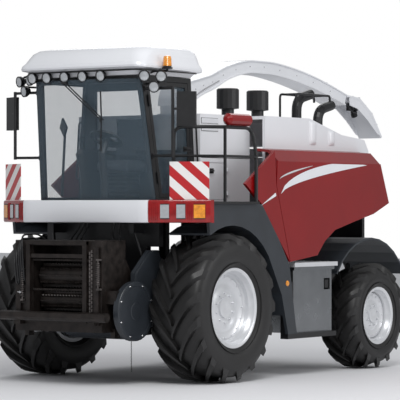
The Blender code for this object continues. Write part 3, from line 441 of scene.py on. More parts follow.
def brow(x, y):
    """The visor's lower edge arches up over the windscreen and falls to the rear."""
    front = max(0.0, (-0.35 - y) / 0.70)
    return 0.030 * front * cos(x * 1.5) - 0.02 * max(0.0, y + 0.4)


def roof():
    # half width, front, rear, height, corner radius, share of the brow's arch
    rows = ((0.80, -0.90, 0.17, 3.606, 0.10, 0), (0.83, -0.93, 0.20, 3.645, 0.10, 0),
            (0.86, -1.00, 0.23, 3.668, 0.11, 0.7), (0.915, -1.050, 0.25, 3.680, 0.12, 1),
            (0.919, -1.058, 0.256, 3.702, 0.12, 1), (0.916, -1.050, 0.25, 3.735, 0.13, 1),
            (0.900, -1.015, 0.240, 3.770, 0.15, 0.9), (0.888, -0.975, 0.235, 3.830, 0.17, 0.6),
            (0.872, -0.925, 0.225, 3.890, 0.18, 0.3), (0.835, -0.860, 0.200, 3.930, 0.19, 0.1),
            (0.760, -0.760, 0.140, 3.950, 0.18, 0), (0.42, -0.42, -0.10, 3.955, 0.12, 0))
    form = bmesh.new()
    skin(form, [rounded_loop(half, front, rear, z, radius, 6, lambda x, y, k=share: k * brow(x, y))
                for half, front, rear, z, radius, share in rows])
    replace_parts(piece("roof_shell", form, WHITE, "machine", 30), "cab_roof")
    form = bmesh.new()
    skin(form, [rounded_loop(0.865, -0.995, 0.215, z, 0.11, 6) for z in (3.652, 3.664)])
    piece("roof_underside", form, PLASTIC, "machine")


LAMP_RADIUS = 0.066


def lamp(name, spot, facing):
    """A round work lamp: a dark cup with a dark bowl inside, and a ribbed clear lens."""
    facing, radius = Vector(facing).normalized(), LAMP_RADIUS
    cup = bmesh.new()
    outside = [(-0.075, 0.018), (-0.070, 0.55 * radius), (-0.02, radius), (0.014, radius * 1.02),
               (0.016, radius * 0.90)]
    inside = [(0.004, radius * 0.88), (-0.014, radius * 0.62), (-0.022, 0.012)]
    turn(cup, spot, facing, outside + inside, 28)
    piece(name + "_cup", cup, BLACK, "machine")
    lens = bmesh.new()
    turn(lens, spot, facing, [(0.000, radius * 0.86), (0.008, radius * 0.88), (0.013, radius * 0.70),
                              (0.017, radius * 0.40), (0.018, 0.004)], 28)
    for i in range(-2, 3):
        aside = square_to(facing) * i * 0.3 * radius
        up = facing.cross(square_to(facing)) * (0.80 ** 2 - (0.3 * i) ** 2) ** 0.5 * radius
        middle = Vector(spot) + aside + facing * 0.013
        rod(lens, middle + up, middle - up, 0.0035, 6)
    piece(name + "_lens", lens, CLEAR, "machine")


def work_lamps():
    down = Vector((0, -1, -0.16))
    for i, x in enumerate((-0.74, -0.52, -0.25, 0.02, 0.29)):
        lamp(f"work_lamp_{i + 1}", at(x, -0.990, 3.598), down)
    for word, sign in SIDES:
        outward = Vector((0.35 * sign, -1, -0.12))
        spots = ((0.86, -0.90, 3.585), (1.06, -0.84, 3.575), (0.97, -0.86, 3.455))
        for i, (x, y, z) in enumerate(spots):
            lamp(f"side_lamp_{word}_{i + 1}", at(sign * x, y, z), outward)
        form = bmesh.new()
        arm = [at(sign * 0.80, -0.70, 3.63), at(sign * 0.92, -0.78, 3.645), at(sign * 1.06, -0.79, 3.63),
               at(sign * 1.06, -0.79, 3.53), at(sign * 0.97, -0.80, 3.51), at(sign * 0.78, -0.74, 3.50)]
        tube(form, eased(arm, 0.05), 0.012)
        piece(f"lamp_arm_{word}", form, BLACK, "machine")


def beacon():
    spot = at(0.985, -0.62, 3.735)
    form = bmesh.new()
    turn(form, spot, (0, 0, 1), [(-0.06, 0.062), (-0.045, 0.064), (-0.040, 0.050), (-0.03, 0.050)], 24)
    stem = [spot + Vector(step) for step in ((-0.12, 0, -0.075), (0, 0, -0.085), (0, 0, -0.055))]
    tube(form, eased(stem, 0.03), 0.014)
    piece("beacon_base", form, PLASTIC, "machine")
    form = bmesh.new()
    profile = [(-0.029, 0.050)]
    for i in range(9):
        z = -0.026 + 0.011 * i
        profile += [(z, 0.054 - 0.0006 * i), (z + 0.006, 0.0515 - 0.0006 * i)]
    turn(form, spot, (0, 0, 1), profile + [(0.086, 0.040), (0.094, 0.020)], 24)
    piece("beacon_lens", form, AMBER, "machine")


def wiper():
    form = bmesh.new()
    low, high = at(0.30, -1.005, 3.06), at(-0.26, -1.015, 3.53)
    for shift in (0.0, 0.045):
        rod(form, low + Vector((shift, 0, 0.02)), high + Vector((shift, 0, 0)), 0.008, 8)
    rod(form, high + Vector((-0.02, 0, 0)), high + Vector((0.07, 0, 0)), 0.014, 8)
    blade = [at(0.31, -1.018, 3.42), at(0.318, -1.012, 3.10), at(0.30, -1.0, 2.72)]
    tube(form, blade, 0.009, 8)
    rod(form, low, at(0.318, -1.012, 3.10), 0.012, 8)
    piece("wiper", form, BLACK, "machine")


def cab_trim():
    """Grab rails, the door handle and the console with its lever beside the seat."""
    form = bmesh.new()
    for sign in (1, -1):
        rail = [at(sign * 0.865, 0.09, 2.40), at(sign * 0.925, 0.09, 2.42), at(sign * 0.885, 0.09, 3.10),
                at(sign * 0.82, 0.09, 3.12)]
        tube(form, eased(rail, 0.04), 0.011)
    piece("grab_rails", form, BLACK, "machine")
    form = bmesh.new()
    block(form, at(0.885, -0.17, 2.72), at(0.905, -0.05, 2.78))
    tube(form, eased([at(0.90, -0.16, 2.75), at(0.935, -0.16, 2.75), at(0.935, -0.06, 2.75),
                      at(0.90, -0.06, 2.75)], 0.02), 0.010)
    piece("door_handle", form, BLACK, "cab_door")
    form = bmesh.new()
    console = [(-0.40, 2.14, 0.10), (-0.42, 2.50, 0.10), (-0.50, 2.70, 0.09), (-0.46, 2.76, 0.07)]
    skin(form, [[at(-0.42 + half * cos(2 * pi * i / 16), y + 0.22 + 0.26 * sin(2 * pi * i / 16), z)
                 for i in range(16)] for y, z, half in console])
    tube(form, eased([at(-0.42, -0.45, 2.72), at(-0.42, -0.47, 2.90), at(-0.41, -0.44, 2.94)], 0.03), 0.014)
    turn(form, at(-0.41, -0.44, 2.94), (0.1, 0.2, 1),
         [(-0.04, 0.018), (0.0, 0.032), (0.04, 0.030), (0.06, 0.012)], 16)
    turn(form, at(-0.55, -0.62, 3.02), (0.5, 0.8, 0.1), [(-0.02, 0.11), (0.0, 0.12), (0.01, 0.11)], 4)
    rod(form, at(-0.55, -0.60, 3.0), at(-0.60, -0.60, 2.2), 0.016)
    piece("side_console", form, PLASTIC, "machine")


# ---------------------------------------------------------------- front beam

BEAM_Z = (1.882, 2.148)


def beam_run(sign):
    """(x, y) of the beam's front face from the centre to the lamp cluster's tip."""
    return [(0.0, -0.968), (sign * 0.80, -0.966), (sign * 0.90, -0.950), (sign * 1.06, -0.858),
            (sign * 1.50, -0.602), (sign * 1.553, -0.556)]


def beam_part(name, runs, deep, material):
    """A piece of the beam, crowned across its height and rounded at its edges."""
    low, high = BEAM_Z
    # depth behind the front face and share of the height
    across = ((0.030, 0.0), (0.010, 0.02), (0.003, 0.08), (0.0, 0.5), (0.003, 0.92), (0.010, 0.98),
              (0.030, 1.0), (deep, 1.0), (deep, 0.0))
    form = bmesh.new()
    skin(form, [[at(x, y + back, low + (high - low) * share) for back, share in across]
                for x, y in runs])
    return piece(name, form, material, "machine", 28)


def along_run(run, start, end, steps):
    """Points from start to end along a run, as shares of its length."""
    points = [Vector((x, y)) for x, y in run]
    lengths = [(b - a).length for a, b in zip(points, points[1:])]
    total, spots = sum(lengths), []
    for i in range(steps + 1):
        far = total * (start + (end - start) * i / max(steps, 1))
        for (a, b), length in zip(zip(points, points[1:]), lengths):
            if far <= length + 1e-6:
                spots.append(tuple(a.lerp(b, far / length)))
                break
            far -= length
    return spots


def beam():
    white = [beam_run(-1)[i] for i in (3, 2, 1, 0)] + [beam_run(1)[i] for i in (1, 2, 3)]
    white[0], white[-1] = (-0.93, -0.933), (0.93, -0.933)
    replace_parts(beam_part("front_beam", white, 0.13, WHITE), "bumper")
    for word, sign in SIDES:
        run = [(sign * 0.936, -0.930)] + beam_run(sign)[3:]
        beam_part(f"cluster_{word}", run, 0.075, LAMP_RED)
        low, high = BEAM_Z
        middle = (low + high) / 2
        shares = (("square_inner", 0.20, 0.34, CLEAR), ("square_outer", 0.46, 0.60, CLEAR),
                  ("indicator", 0.74, 0.92, AMBER))
        for part, start, end, material in shares:
            spots = along_run(run, start, end, 6)
            for index, (out, tall, finish) in enumerate(((0.004, 0.088, BLACK), (0.007, 0.078, material))):
                form = bmesh.new()
                loops = [[at(x, y + 0.012, middle - tall), at(x, y - out, middle - tall),
                          at(x, y - out, middle + tall), at(x, y + 0.012, middle + tall)]
                         for x, y in spots]
                skin(form, loops)
                piece(f"{part}_{word}_{index}", form, finish, "machine")
        form = bmesh.new()
        for share in [0.03 + 0.03 * i for i in range(5)] + [0.64, 0.67, 0.70]:
            (x, y), = along_run(run, share, share, 0)
            rod(form, at(x, y - 0.002, low + 0.03), at(x, y - 0.002, high - 0.03), 0.004, 6)
        piece(f"cluster_ribs_{word}", form, LAMP_RED, "machine")


roof()
work_lamps()
beacon()
wiper()
cab_trim()
beam()

# ---------------------------------------------------------------- body

COVER_FACE = 1.48
HOUSE_FACE = 0.92
HOOD_FACE = 1.15


def plate(form, sign, face, thick, outline):
    """A flat plate on a side wall from an outline of (y, z)."""
    skin(form, [[at(sign * (face + out), y, z) for y, z in outline] for out in (0.0005, thick)])


def swoosh(name, sign, body, start, end, low, high, material):
    """A tapered stripe along a side wall between two curves of the share along it."""
    form = bmesh.new()
    shares = [i / 24 for i in range(25)]
    spots = [(start + (end - start) * t, t) for t in shares]
    outline = [(y, low(t)) for y, t in spots] + [(y, high(t)) for y, t in reversed(spots[1:-1])]
    plate(form, sign, COVER_FACE, 0.003, outline)
    piece(name, form, material, body)


def stripe_height(t):
    """The main stripe's height, full in its first half and kept below the cover's bend."""
    room = 2.606 - (2.225 + 0.375 * t ** 0.62)
    return min(0.135 * (4 * t * (1 - t)) ** 0.55 * (1 - 0.25 * t), room)


def stripes():
    for word, sign in SIDES:
        cover = f"cover_{word}"
        swoosh(f"stripe_{word}", sign, cover, 1.03, 3.02, lambda t: 2.225 + 0.375 * t ** 0.62,
               lambda t: 2.225 + 0.375 * t ** 0.62 + stripe_height(t), WHITE)
        swoosh(f"stripe_fine_{word}", sign, cover, 1.00, 1.75, lambda t: 2.405 + 0.17 * t ** 0.8,
               lambda t: 2.405 + 0.17 * t ** 0.8 + 0.030 * (4 * t * (1 - t)) ** 0.5 * (1 - 0.7 * t),
               SILVER)
        swoosh(f"stripe_tail_{word}", sign, "machine", 0.60, 0.925, lambda t: 2.085 + 0.115 * t,
               lambda t: 2.085 + 0.115 * t + 0.055 * t ** 1.2 * (1 - 0.2 * t), WHITE)


def house_trim():
    for word, sign in SIDES:
        form = bmesh.new()
        plate(form, sign, HOUSE_FACE, 0.002, [(0.14, 2.655), (1.17, 2.655), (1.17, 2.663), (0.14, 2.663)])
        piece(f"house_seam_{word}", form, BLACK, "machine")
        form, fins = bmesh.new(), bmesh.new()
        for low, high in ((2.975, 3.045), (3.065, 3.135)):
            plate(form, sign, HOUSE_FACE, 0.002, [(0.15, low), (0.50, low), (0.50, high), (0.15, high)])
            for i in range(18):
                y = 0.158 + 0.0195 * i
                skin(fins, [[at(sign * (HOUSE_FACE + out), y + dy, z) for out, dy in
                             ((0.0, 0.0), (0.014, 0.006), (0.014, 0.009), (0.0, 0.011))]
                            for z in (low + 0.005, high - 0.005)])
        piece(f"louvre_back_{word}", form, BLACK, "machine")
        piece(f"louvres_{word}", fins, WHITE, "machine")
    form = bmesh.new()
    plate(form, 1, HOUSE_FACE, 0.010, [(0.255, 2.47), (0.40, 2.47), (0.40, 2.53), (0.255, 2.53)])
    tube(form, eased([at(0.925, 0.27, 2.50), at(0.955, 0.285, 2.50), at(0.955, 0.37, 2.50),
                      at(0.925, 0.385, 2.50)], 0.012), 0.010)
    piece("service_handle", form, BLACK, "service_door")


def hood_trim():
    """Two shallow ribs a side, the exhausts' guard frame and the rear door's grille."""
    for word, sign in SIDES:
        for i, (front, rear) in enumerate(((2.17, 2.33), (2.62, 2.76))):
            middle, half = (front + rear) / 2, (rear - front) / 2
            low, top = 2.85, 3.165 - 0.247 * max(0.0, middle - 2.18)
            arch = [(half * cos(pi * k / 10), 0.032 * sin(pi * k / 10)) for k in range(11)]
            rows = [(low, 0.3), (low + 0.03, 0.9), (low + 0.06, 1.0), (top - 0.05, 1.0), (top - 0.015, 0.9),
                    (top, 0.3)]
            form = bmesh.new()
            skin(form, [[at(sign * (HOOD_FACE - 0.004 + out * grow), middle + y, z) for y, out in arch]
                        for z, grow in rows])
            piece(f"hood_rib_{word}_{i + 1}", form, WHITE, "machine", 50)
    form = bmesh.new()
    for x in (0.68, 0.92):
        frame = [at(x, 2.22, 3.17), at(x, 2.22, 3.50), at(x, 3.02, 3.50), at(x, 3.02, 3.42)]
        tube(form, eased(frame, 0.05), 0.015)
    for y in (2.30, 2.95):
        rod(form, at(0.68, y, 3.50), at(0.92, y, 3.50), 0.013)
    piece("exhaust_guard", form, BLACK, "machine")
    form, fins = bmesh.new(), bmesh.new()
    block(form, at(-0.70, 3.600, 2.14), at(0.70, 3.604, 2.66))
    for i in range(20):
        z = 2.155 + 0.0255 * i
        block(fins, at(-0.69, 3.603, z), at(0.69, 3.617, z + 0.009))
    piece("rear_grille_back", form, BLACK, "rear_door")
    piece("rear_grille", fins, GREY, "rear_door")


def fender_trim():
    for word, sign in SIDES:
        form = bmesh.new()
        turn(form, at(sign * 1.478, 1.17, 1.14), (sign, 0, 0),
             [(0.0, 0.034), (0.006, 0.034), (0.012, 0.028), (0.014, 0.01)], 24)
        piece(f"side_marker_{word}", form, AMBER, "machine")
        form = bmesh.new()
        low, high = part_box("fuel_tank" if sign > 0 else "tool_box")
        inner, outer = sorted((sign * 0.80, sign * 1.462))
        front, rear = low.y - 0.03, high.y + 0.03
        skin(form, [[(inner, front, z), (outer, front, z), (outer, rear, z), (inner, rear, z)]
                    for z in (high.z + 0.002, high.z + 0.056)])
        for i in range(14):
            for k in range(4):
                spot = Vector((sign * (0.98 + 0.12 * k), front + 0.06 + 0.068 * i, high.z + 0.0545))
                turn(form, spot, (0, 0, 1), [(0, 0.016), (0.004, 0.014), (0.006, 0.004)], 8)
        softened(piece(f"step_plate_{word}", form, SILVER, "machine"), 0.006)


def lights_rear():
    """Two round lamps at each lower corner of the hood's rear wall."""
    for word, sign in SIDES:
        for i, (x, material) in enumerate(((1.00, AMBER), (0.86, LAMP_RED))):
            form = bmesh.new()
            turn(form, at(sign * x, 3.615, 2.10), (0, 1, 0),
                 [(-0.02, 0.050), (0.012, 0.054), (0.020, 0.046), (0.028, 0.02)], 28)
            piece(f"tail_lamp_{word}_{i + 1}", form, material, "machine")


# ---------------------------------------------------------------- feeder

ROLL_LINE = -1.22
ROLLS = {"upper": (1.27, 0.15), "lower": (0.97, 0.12)}      # height, radius
MOUTH = 0.362
FEEDER_FACE = -1.42
GEARS = (-1.02, 0.86)       # middle of the gear cover


def toothed_roll(word, z, radius):
    """A feed roll with ten toothed bars along it."""
    form = bmesh.new()
    centre = at(0, ROLL_LINE, z)
    half = [(MOUTH, 0.040), (MOUTH - 0.012, 0.042), (MOUTH - 0.013, 0.78 * radius)]
    turn(form, centre, (1, 0, 0), [(-x, size) for x, size in half] + half[::-1], 40)
    teeth = 16
    pitch = 2 * (MOUTH - 0.016) / teeth
    for i in range(10):
        angle = 2 * pi * i / 10
        out = Vector((0, cos(angle), sin(angle)))
        aside = Vector((0, -sin(angle), cos(angle)))
        loops = []
        for k in range(teeth):
            for share, top in ((0.02, 0.90), (0.30, 0.985), (0.70, 0.985), (0.98, 0.90)):
                middle = centre + Vector((-MOUTH + 0.016 + pitch * (k + share), 0, 0))
                bar = ((0.72, -0.010), (top, -0.006), (top, 0.006), (0.72, 0.010))
                loops.append([middle + out * share_out * radius + aside * wide for share_out, wide in bar])
        skin(form, loops)
    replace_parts(piece(f"toothed_roll_{word}", form, DARK_STEEL, f"{word}_roll", 30),
                f"feed_roll_{word}")


def intake():
    """Frame bars, bolts and pipes on the feeder's front, and the gear guard's cover."""
    face = FEEDER_FACE
    form = bmesh.new()
    for x in (-0.42, 0.42):
        block(form, at(x - 0.030, face - 0.045, 0.74), at(x + 0.030, face + 0.01, 1.67))
    for z, deep in ((0.755, 0.05), (1.655, 0.05), (1.50, 0.03)):
        block(form, at(-0.45, face - deep, z - 0.026), at(0.45, face + 0.005, z + 0.022))
    for z in (1.46, 1.115):
        block(form, at(-0.37, face - 0.012, z - 0.020), at(0.37, face + 0.004, z + 0.004))
        for i in range(24):
            x = -0.355 + 0.030 * i
            block(form, at(x, face - 0.020, z - 0.014), at(x + 0.016, face - 0.010, z + 0.002))
    for sign in (1, -1):
        for i in range(6):
            spot = at(sign * 0.53, face, 0.80 + 0.15 * i)
            turn(form, spot, (0, -1, 0), [(-0.004, 0.020), (0.006, 0.020), (0.006, 0.014), (0.020, 0.014),
                                          (0.022, 0.010)], 6)
        block(form, at(sign * 0.575 - 0.035, face - 0.03, 0.70), at(sign * 0.575 + 0.035, face + 0.01, 1.60))
        for z in (0.95, 1.20, 1.45):
            x = sign * 0.50
            block(form, at(x - 0.09, face - 0.022, z - 0.012), at(x + 0.06, face + 0.005, z + 0.012))
    softened(piece("intake_frame", form, DARK_STEEL, "feeder"), 0.004)
    form = bmesh.new()
    for i in range(5):
        x, z = -0.47 - 0.028 * i, 1.62 - 0.05 * i
        route = [at(x, face + 0.01, z - 0.45 + 0.04 * i), at(x, face - 0.05, z - 0.40 + 0.04 * i),
                 at(x - 0.02, face - 0.065, z), at(x - 0.06, face - 0.01, z + 0.12),
                 at(x - 0.06, face + 0.30, z + 0.13), at(x + 0.02, face + 0.44, z - 0.02)]
        tube(form, eased(route, 0.09, 8), 0.011 + 0.002 * (i % 2), 12)
    piece("feeder_hoses", form, PLASTIC, "feeder")
    form = bmesh.new()
    for i in range(3):
        z = 1.02 + 0.16 * i
        route = [at(-0.64, -0.80, z), at(-0.675, -0.86, z), at(-0.675, -1.30, z + 0.04),
                 at(-0.62, -1.44, z + 0.05), at(-0.52, -1.455, z + 0.05)]
        tube(form, eased(route, 0.05, 6), 0.008, 10)
        turn(form, at(-0.53, -1.455, z + 0.05), (1, 0, 0), [(-0.02, 0.015), (0.02, 0.015)], 6)
    piece("feeder_pipes", form, BRIGHT, "feeder")
    form = bmesh.new()
    collar = [(0, 0.0551), (0.06, 0.0551), (0.06, 0.0546), (0, 0.0546)]
    for end in (-0.78, 0.72):
        turn(form, at(end, -1.505, 0.80), (1, 0, 0), collar, 32, True)
    rod(form, at(-0.77, -1.505, 0.80), at(0.77, -1.505, 0.80), 0.0552, 32)
    piece("coupling_tube", form, DARK_STEEL, "feeder")
    # A chain and two springs beside the mouth
    links = bmesh.new()
    for i in range(16):
        z = 0.84 + 0.045 * i
        block(links, at(0.478, face - 0.030, z), at(0.498, face - 0.012, z + 0.036))
        block(links, at(0.506, face - 0.030, z + 0.02), at(0.526, face - 0.012, z + 0.056))
    for x, low, high in ((-0.50, 1.02, 1.30), (0.62, 1.16, 1.42)):
        turns = 12
        coil = [at(x + 0.022 * cos(2 * pi * k / 10), face - 0.045 + 0.022 * sin(2 * pi * k / 10),
                   low + (high - low) * k / (10 * turns)) for k in range(10 * turns + 1)]
        tube(links, coil, 0.0045, 6)
        rod(links, at(x, face - 0.045, low - 0.05), at(x, face - 0.045, high + 0.05), 0.008)
        for z in (low - 0.05, high + 0.03):
            block(links, at(x - 0.018, face - 0.060, z), at(x + 0.018, face + 0.005, z + 0.02))
    piece("feed_chain", links, STEEL, "feeder")
    # The round cover over the feeder's gears
    form = bmesh.new()
    line = [(0.345 * cos(radians(a)), 0.345 * sin(radians(a))) for a in range(0, 360, 12)]
    rows = ((0.762, 1.0), (0.829, 1.0), (0.836, 0.985), (0.838, 0.94), (0.838, 0.86), (0.834, 0.84),
            (0.834, 0.30), (0.838, 0.28), (0.839, 0.05))
    skin(form, [[at(x, GEARS[0] + y * k, GEARS[1] + z * k) for y, z in line] for x, k in rows])
    piece("gear_cover", form, GREY, "feeder", 25)
    form = bmesh.new()
    for i in range(8):
        a = radians(22.5 + 45 * i)
        turn(form, at(0.836, GEARS[0] + 0.31 * cos(a), GEARS[1] + 0.31 * sin(a)), (1, 0, 0),
             [(0, 0.014), (0.004, 0.014), (0.004, 0.010), (0.013, 0.010), (0.014, 0.006)], 6)
    piece("gear_cover_bolts", form, BRIGHT, "feeder")


# ---------------------------------------------------------------- spout

# The duct's middle line and depth: along, up, deep
DUCT = ((0.92, 3.320, 0.30), (0.97, 3.470, 0.28), (1.18, 3.560, 0.22), (1.46, 3.640, 0.19),
        (1.83, 3.780, 0.17), (2.30, 3.872, 0.165), (2.80, 3.872, 0.165), (3.40, 3.805, 0.165),
        (4.00, 3.690, 0.16), (4.62, 3.530, 0.15))
DUCT_TOP = 3.956


def smooth_line(points, steps):
    """A Catmull-Rom curve through the points."""
    ends = [points[0]] + list(points) + [points[-1]]
    line = []
    for a, b, c, d in zip(ends, ends[1:], ends[2:], ends[3:]):
        for i in range(steps):
            t = i / steps
            line.append(tuple(0.5 * (2 * q + (r - p) * t + (2 * p - 5 * q + 4 * r - s) * t * t
                                     + (3 * q - p - 3 * r + s) * t ** 3) for p, q, r, s in zip(a, b, c, d)))
    return line + [points[-1]]


def duct():
    """The arched duct with flanges along its edges, its bolts and the flap's ram."""
    half = 0.18
    line = smooth_line(DUCT, 6)
    form = bmesh.new()
    loops = []
    for i, (y, z, deep) in enumerate(line):
        before, after = line[max(i - 1, 0)], line[min(i + 1, len(line) - 1)]
        run = Vector((after[0] - before[0], after[1] - before[1])).normalized()
        if i < 2:
            run = Vector((0, 1))
        normal = Vector((-run.y, run.x))
        z = min(z, DUCT_TOP - deep / 2)
        d = deep / 2
        section = [(half, d), (half, d - 0.014), (half - 0.016, d - 0.017), (half - 0.016, 0.022 - d),
                   (half, 0.018 - d), (half, 0.004 - d), (half - 0.004, -d)]
        section += [(-x, up) for x, up in reversed(section)]
        loops.append([at(x, y + normal.x * up, z + normal.y * up) for x, up in section])
    skin(form, loops)
    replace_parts(piece("spout_duct", form, WHITE, "spout", 22), "spout_arc")
    form = bmesh.new()
    for i in range(6, len(line) - 3, 4):
        y, z, deep = line[i]
        for sign in (1, -1):
            turn(form, at(sign * 0.164, y, z), (sign, 0, 0), [(0, 0.008), (0.004, 0.008), (0.005, 0.004)], 8)
    for sign in (1, -1):
        route = [at(sign * 0.170, 1.02, 3.42), at(sign * 0.173, 1.25, 3.53), at(sign * 0.173, 1.60, 3.66)]
        tube(form, eased(route, 0.1), 0.006, 8)
    piece("spout_bolts", form, BRIGHT, "spout")
    form = bmesh.new()
    ram = at(0.0, 4.26, 3.73), at(0.0, 4.60, 3.655)
    turn(form, ram[0], ram[1] - ram[0], [(0, 0.028), (0.32, 0.028), (0.33, 0.020)], 20)
    block(form, at(-0.13, 4.42, 3.60), at(-0.07, 4.62, 3.67))
    for x in (-0.055, 0.055):
        block(form, at(x - 0.008, 4.20, 3.66), at(x + 0.008, 4.32, 3.76))
    piece("flap_ram", form, SILVER, "spout")


def flap_gear():
    """Cheeks and ribs on the deflector, with its camera lamp and cable."""
    for word, sign in SIDES:
        form = bmesh.new()
        cheek = [(4.70, 3.565), (4.97, 3.560), (5.30, 3.360), (5.545, 3.060), (5.44, 3.085), (5.18, 3.270),
                 (4.92, 3.42), (4.72, 3.46)]
        skin(form, [[at(sign * x, y, z) for y, z in cheek] for x in (0.168, 0.178)])
        piece(f"flap_cheek_{word}", form, WHITE, "flap")
    form = bmesh.new()
    for y, z in ((4.80, 3.592), (4.97, 3.580), (5.13, 3.482), (5.30, 3.378), (5.43, 3.225)):
        rod(form, at(-0.178, y, z - 0.008), at(0.178, y, z - 0.008), 0.010, 10)
    piece("flap_ribs", form, SILVER, "flap")
    form = bmesh.new()
    block(form, at(-0.05, 4.98, 3.40), at(0.05, 5.12, 3.50))
    turn(form, at(0.0, 5.10, 3.36), (0, 0.5, -0.8),
         [(-0.05, 0.03), (0.0, 0.045), (0.04, 0.045), (0.045, 0.03)], 20)
    cable = [at(0.10, 4.72, 3.50), at(0.12, 4.86, 3.38), at(0.11, 5.02, 3.36), at(0.04, 5.06, 3.42)]
    tube(form, eased(cable, 0.06), 0.007, 8)
    piece("flap_lamp", form, BLACK, "flap")


# ---------------------------------------------------------------- seat


PRESSURE = 4.0
MOST_TRAVEL = 0.03


def cushion(name, low, high, lean=0.0):
    """A padded pad: a rounded slab blown up by a cloth simulation whose travel is capped."""
    form = bmesh.new()
    middle = (low + high) / 2
    size = high - low
    tilt = Matrix.Translation(middle) @ Matrix.Rotation(lean, 4, "X")
    block(form, -size / 2, size / 2, tilt)
    made = piece(name, form, SEAT, "machine", 180)
    remesh = made.modifiers.new("voxels", "REMESH")
    remesh.mode, remesh.voxel_size = "VOXEL", 0.006
    graph = bpy.context.evaluated_depsgraph_get()
    base = bpy.data.meshes.new_from_object(made.evaluated_get(graph))
    made.modifiers.clear()
    made.data = base
    scene = bpy.context.scene
    cloth = made.modifiers.new("cloth", "CLOTH")
    cloth.settings.use_pressure = True
    cloth.settings.uniform_pressure_force = PRESSURE
    cloth.settings.effector_weights.gravity = 0
    for frame_number in range(1, 21):
        scene.frame_set(frame_number)
    graph = bpy.context.evaluated_depsgraph_get()
    blown = bpy.data.meshes.new_from_object(made.evaluated_get(graph))
    for vertex, moved in zip(base.vertices, blown.vertices):
        travel = moved.co - vertex.co
        if travel.length > MOST_TRAVEL:
            travel = travel.normalized() * MOST_TRAVEL
        vertex.co += travel
    made.modifiers.clear()
    scene.frame_set(1)
    base.shade_smooth()
    smooth = made.modifiers.new("rounding", "SUBSURF")
    smooth.levels = smooth.render_levels = 1
    return made


def seat():
    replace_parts(cushion("seat_pad", at(-0.235, -0.40, 2.49), at(0.235, 0.00, 2.60)), "driver_seat")
    cushion("seat_back", at(-0.215, -0.055, 2.63), at(0.215, 0.025, 3.14), radians(-4))
    form = bmesh.new()
    for i in range(7):
        z = 2.13 + 0.05 * i
        skin(form, [rounded_loop(0.16 + bulge, -0.34 - bulge, -0.06 + bulge, z + up, 0.05, 4)
                    for up, bulge in ((0.0, 0.0), (0.025, 0.018), (0.0495, 0.0))])
    block(form, at(-0.22, -0.38, 2.48), at(0.22, -0.02, 2.495))
    for sign in (1, -1):
        x = sign * 0.27
        tube(form, eased([at(x, 0.0, 2.62), at(x, 0.0, 2.72), at(x, -0.30, 2.74)], 0.03), 0.026, 12)
    piece("seat_base", form, PLASTIC, "machine")


def drive_cover():
    """A pressed lid on the drum drive's eight-cornered cover."""
    line = [(-0.74, 1.00), (-0.93, 1.16), (-0.93, 1.29), (-0.655, 1.54), (-0.49, 1.54), (-0.32, 1.19),
            (-0.32, 0.82), (-0.61, 0.785)]
    middle = Vector((-0.60, 1.15))
    form = bmesh.new()
    rows = ((0.7555, 1.0), (0.7588, 0.98), (0.7588, 0.90))
    skin(form, [[at(x, middle.x + (y - middle.x) * k, middle.y + (z - middle.y) * k) for y, z in line]
                for x, k in rows])
    piece("drive_lid", form, GREY, "machine", 20)


def under_cab():
    """Hoses and a bracket in the gap between the cab and the feeder."""
    form = bmesh.new()
    for x in (-0.30, -0.24, -0.18, 0.22, 0.30):
        route = [at(x, -0.60, 1.95), at(x, -0.66, 1.80), at(x * 1.2, -0.72, 1.70), at(x * 1.3, -0.70, 1.62)]
        tube(form, eased(route, 0.06, 6), 0.013, 12)
    piece("cab_hoses", form, PLASTIC, "machine")
    form = bmesh.new()
    for x in (-0.60, 0.60):
        block(form, at(x - 0.03, -0.80, 1.76), at(x + 0.03, -0.585, 1.87))
        rod(form, at(x, -0.76, 1.80), at(x * 1.12, -0.62, 1.35), 0.018)
    piece("beam_brackets", form, BLACK, "machine")


def ground_chain():
    """The anti-static chain that hangs from the frame to just above the ground."""
    form = bmesh.new()
    x, y, top, low = 0.25, -0.34, 0.585, 0.09
    pitch = 0.020
    count = int((top - low) / pitch)
    for i in range(count):
        z = top - pitch * (i + 0.5)
        across = Vector((1, 0, 0)) if i % 2 else Vector((0, 1, 0))
        link = []
        for k in range(10):
            angle = 2 * pi * k / 10
            link.append(at(x, y, z) + across * 0.006 * cos(angle) + Vector((0, 0, 0.0125 * sin(angle))))
        tube(form, link + link[:1], 0.0022, 5)
    piece("ground_chain", form, STEEL, "machine")


drive_cover()
under_cab()
ground_chain()
stripes()
house_trim()
hood_trim()
fender_trim()
lights_rear()
for word, (z, radius) in ROLLS.items():
    toothed_roll(word, z, radius)
intake()
duct()
flap_gear()
seat()

# ---------------------------------------------------------------- stage and camera


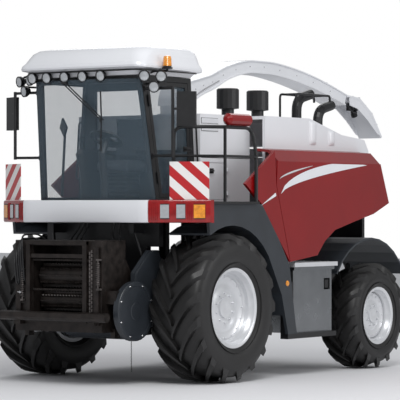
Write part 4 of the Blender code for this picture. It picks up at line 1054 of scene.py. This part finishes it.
def stage():
    floor_mesh = bmesh.new()
    bmesh.ops.create_grid(floor_mesh, x_segments=1, y_segments=1, size=60)
    mesh = bpy.data.meshes.new("floor")
    floor_mesh.to_mesh(mesh)
    floor_mesh.free()
    floor = bpy.data.objects.new("floor", mesh)
    bpy.context.scene.collection.objects.link(floor)
    floor.location.z = -0.002
    material, _, shader, _ = nodes_of("pale_floor")
    shader.inputs["Base Color"].default_value = (0.86, 0.86, 0.88, 1)
    shader.inputs["Roughness"].default_value = 0.75
    mesh.materials.append(material)

    world = bpy.data.worlds.new("studio")
    bpy.context.scene.world = world
    world.use_nodes = True
    links, nodes = world.node_tree.links, world.node_tree.nodes
    fill = nodes["Background"]
    fill.inputs["Color"].default_value = (0.95, 0.97, 1.0, 1)
    fill.inputs["Strength"].default_value = 0.42
    seen = nodes.new("ShaderNodeBackground")
    seen.inputs["Color"].default_value = (1, 1, 1, 1)
    seen.inputs["Strength"].default_value = 1.0
    rays = nodes.new("ShaderNodeLightPath")
    either = nodes.new("ShaderNodeMath")
    either.operation = "MAXIMUM"
    mix = nodes.new("ShaderNodeMixShader")
    links.new(rays.outputs["Is Camera Ray"], either.inputs[0])
    links.new(rays.outputs["Is Transmission Ray"], either.inputs[1])
    links.new(either.outputs[0], mix.inputs[0])
    links.new(fill.outputs[0], mix.inputs[1])
    links.new(seen.outputs[0], mix.inputs[2])
    links.new(mix.outputs[0], nodes["World Output"].inputs["Surface"])

    for name, place, size, power in (
        ("key", (7, -9, 11), 6, 950), ("side", (12, 3, 5), 5, 260), ("back", (-6, 9, 10), 8, 300),
    ):
        lamp = bpy.data.lights.new(name, "AREA")
        lamp.size = size
        lamp.energy = power
        made = bpy.data.objects.new(name, lamp)
        made.location = place
        made.rotation_euler = (Vector((0, 0, 1.5)) - Vector(place)).to_track_quat("-Z", "Y").to_euler()
        bpy.context.scene.collection.objects.link(made)


DISTANCE = 30


def camera():
    """Level, 30 m away on the machine's front left, with a long lens."""
    azimuth = radians(35.4)
    aim = Vector((-0.1255, 1.6 + AXLE_Y, 2.04))
    away = Vector((sin(azimuth), -cos(azimuth), 0)) * DISTANCE
    lens = bpy.data.cameras.new("camera")
    lens.lens = 213
    lens.sensor_width = 36
    lens.shift_y = 0.023
    lens.clip_end = 200
    made = bpy.data.objects.new("camera", lens)
    made.location = aim + away
    made.rotation_euler = (pi / 2, 0, azimuth)
    bpy.context.scene.collection.objects.link(made)
    bpy.context.scene.camera = made


camera()
stage()
bpy.context.scene.view_settings.view_transform = "Standard"
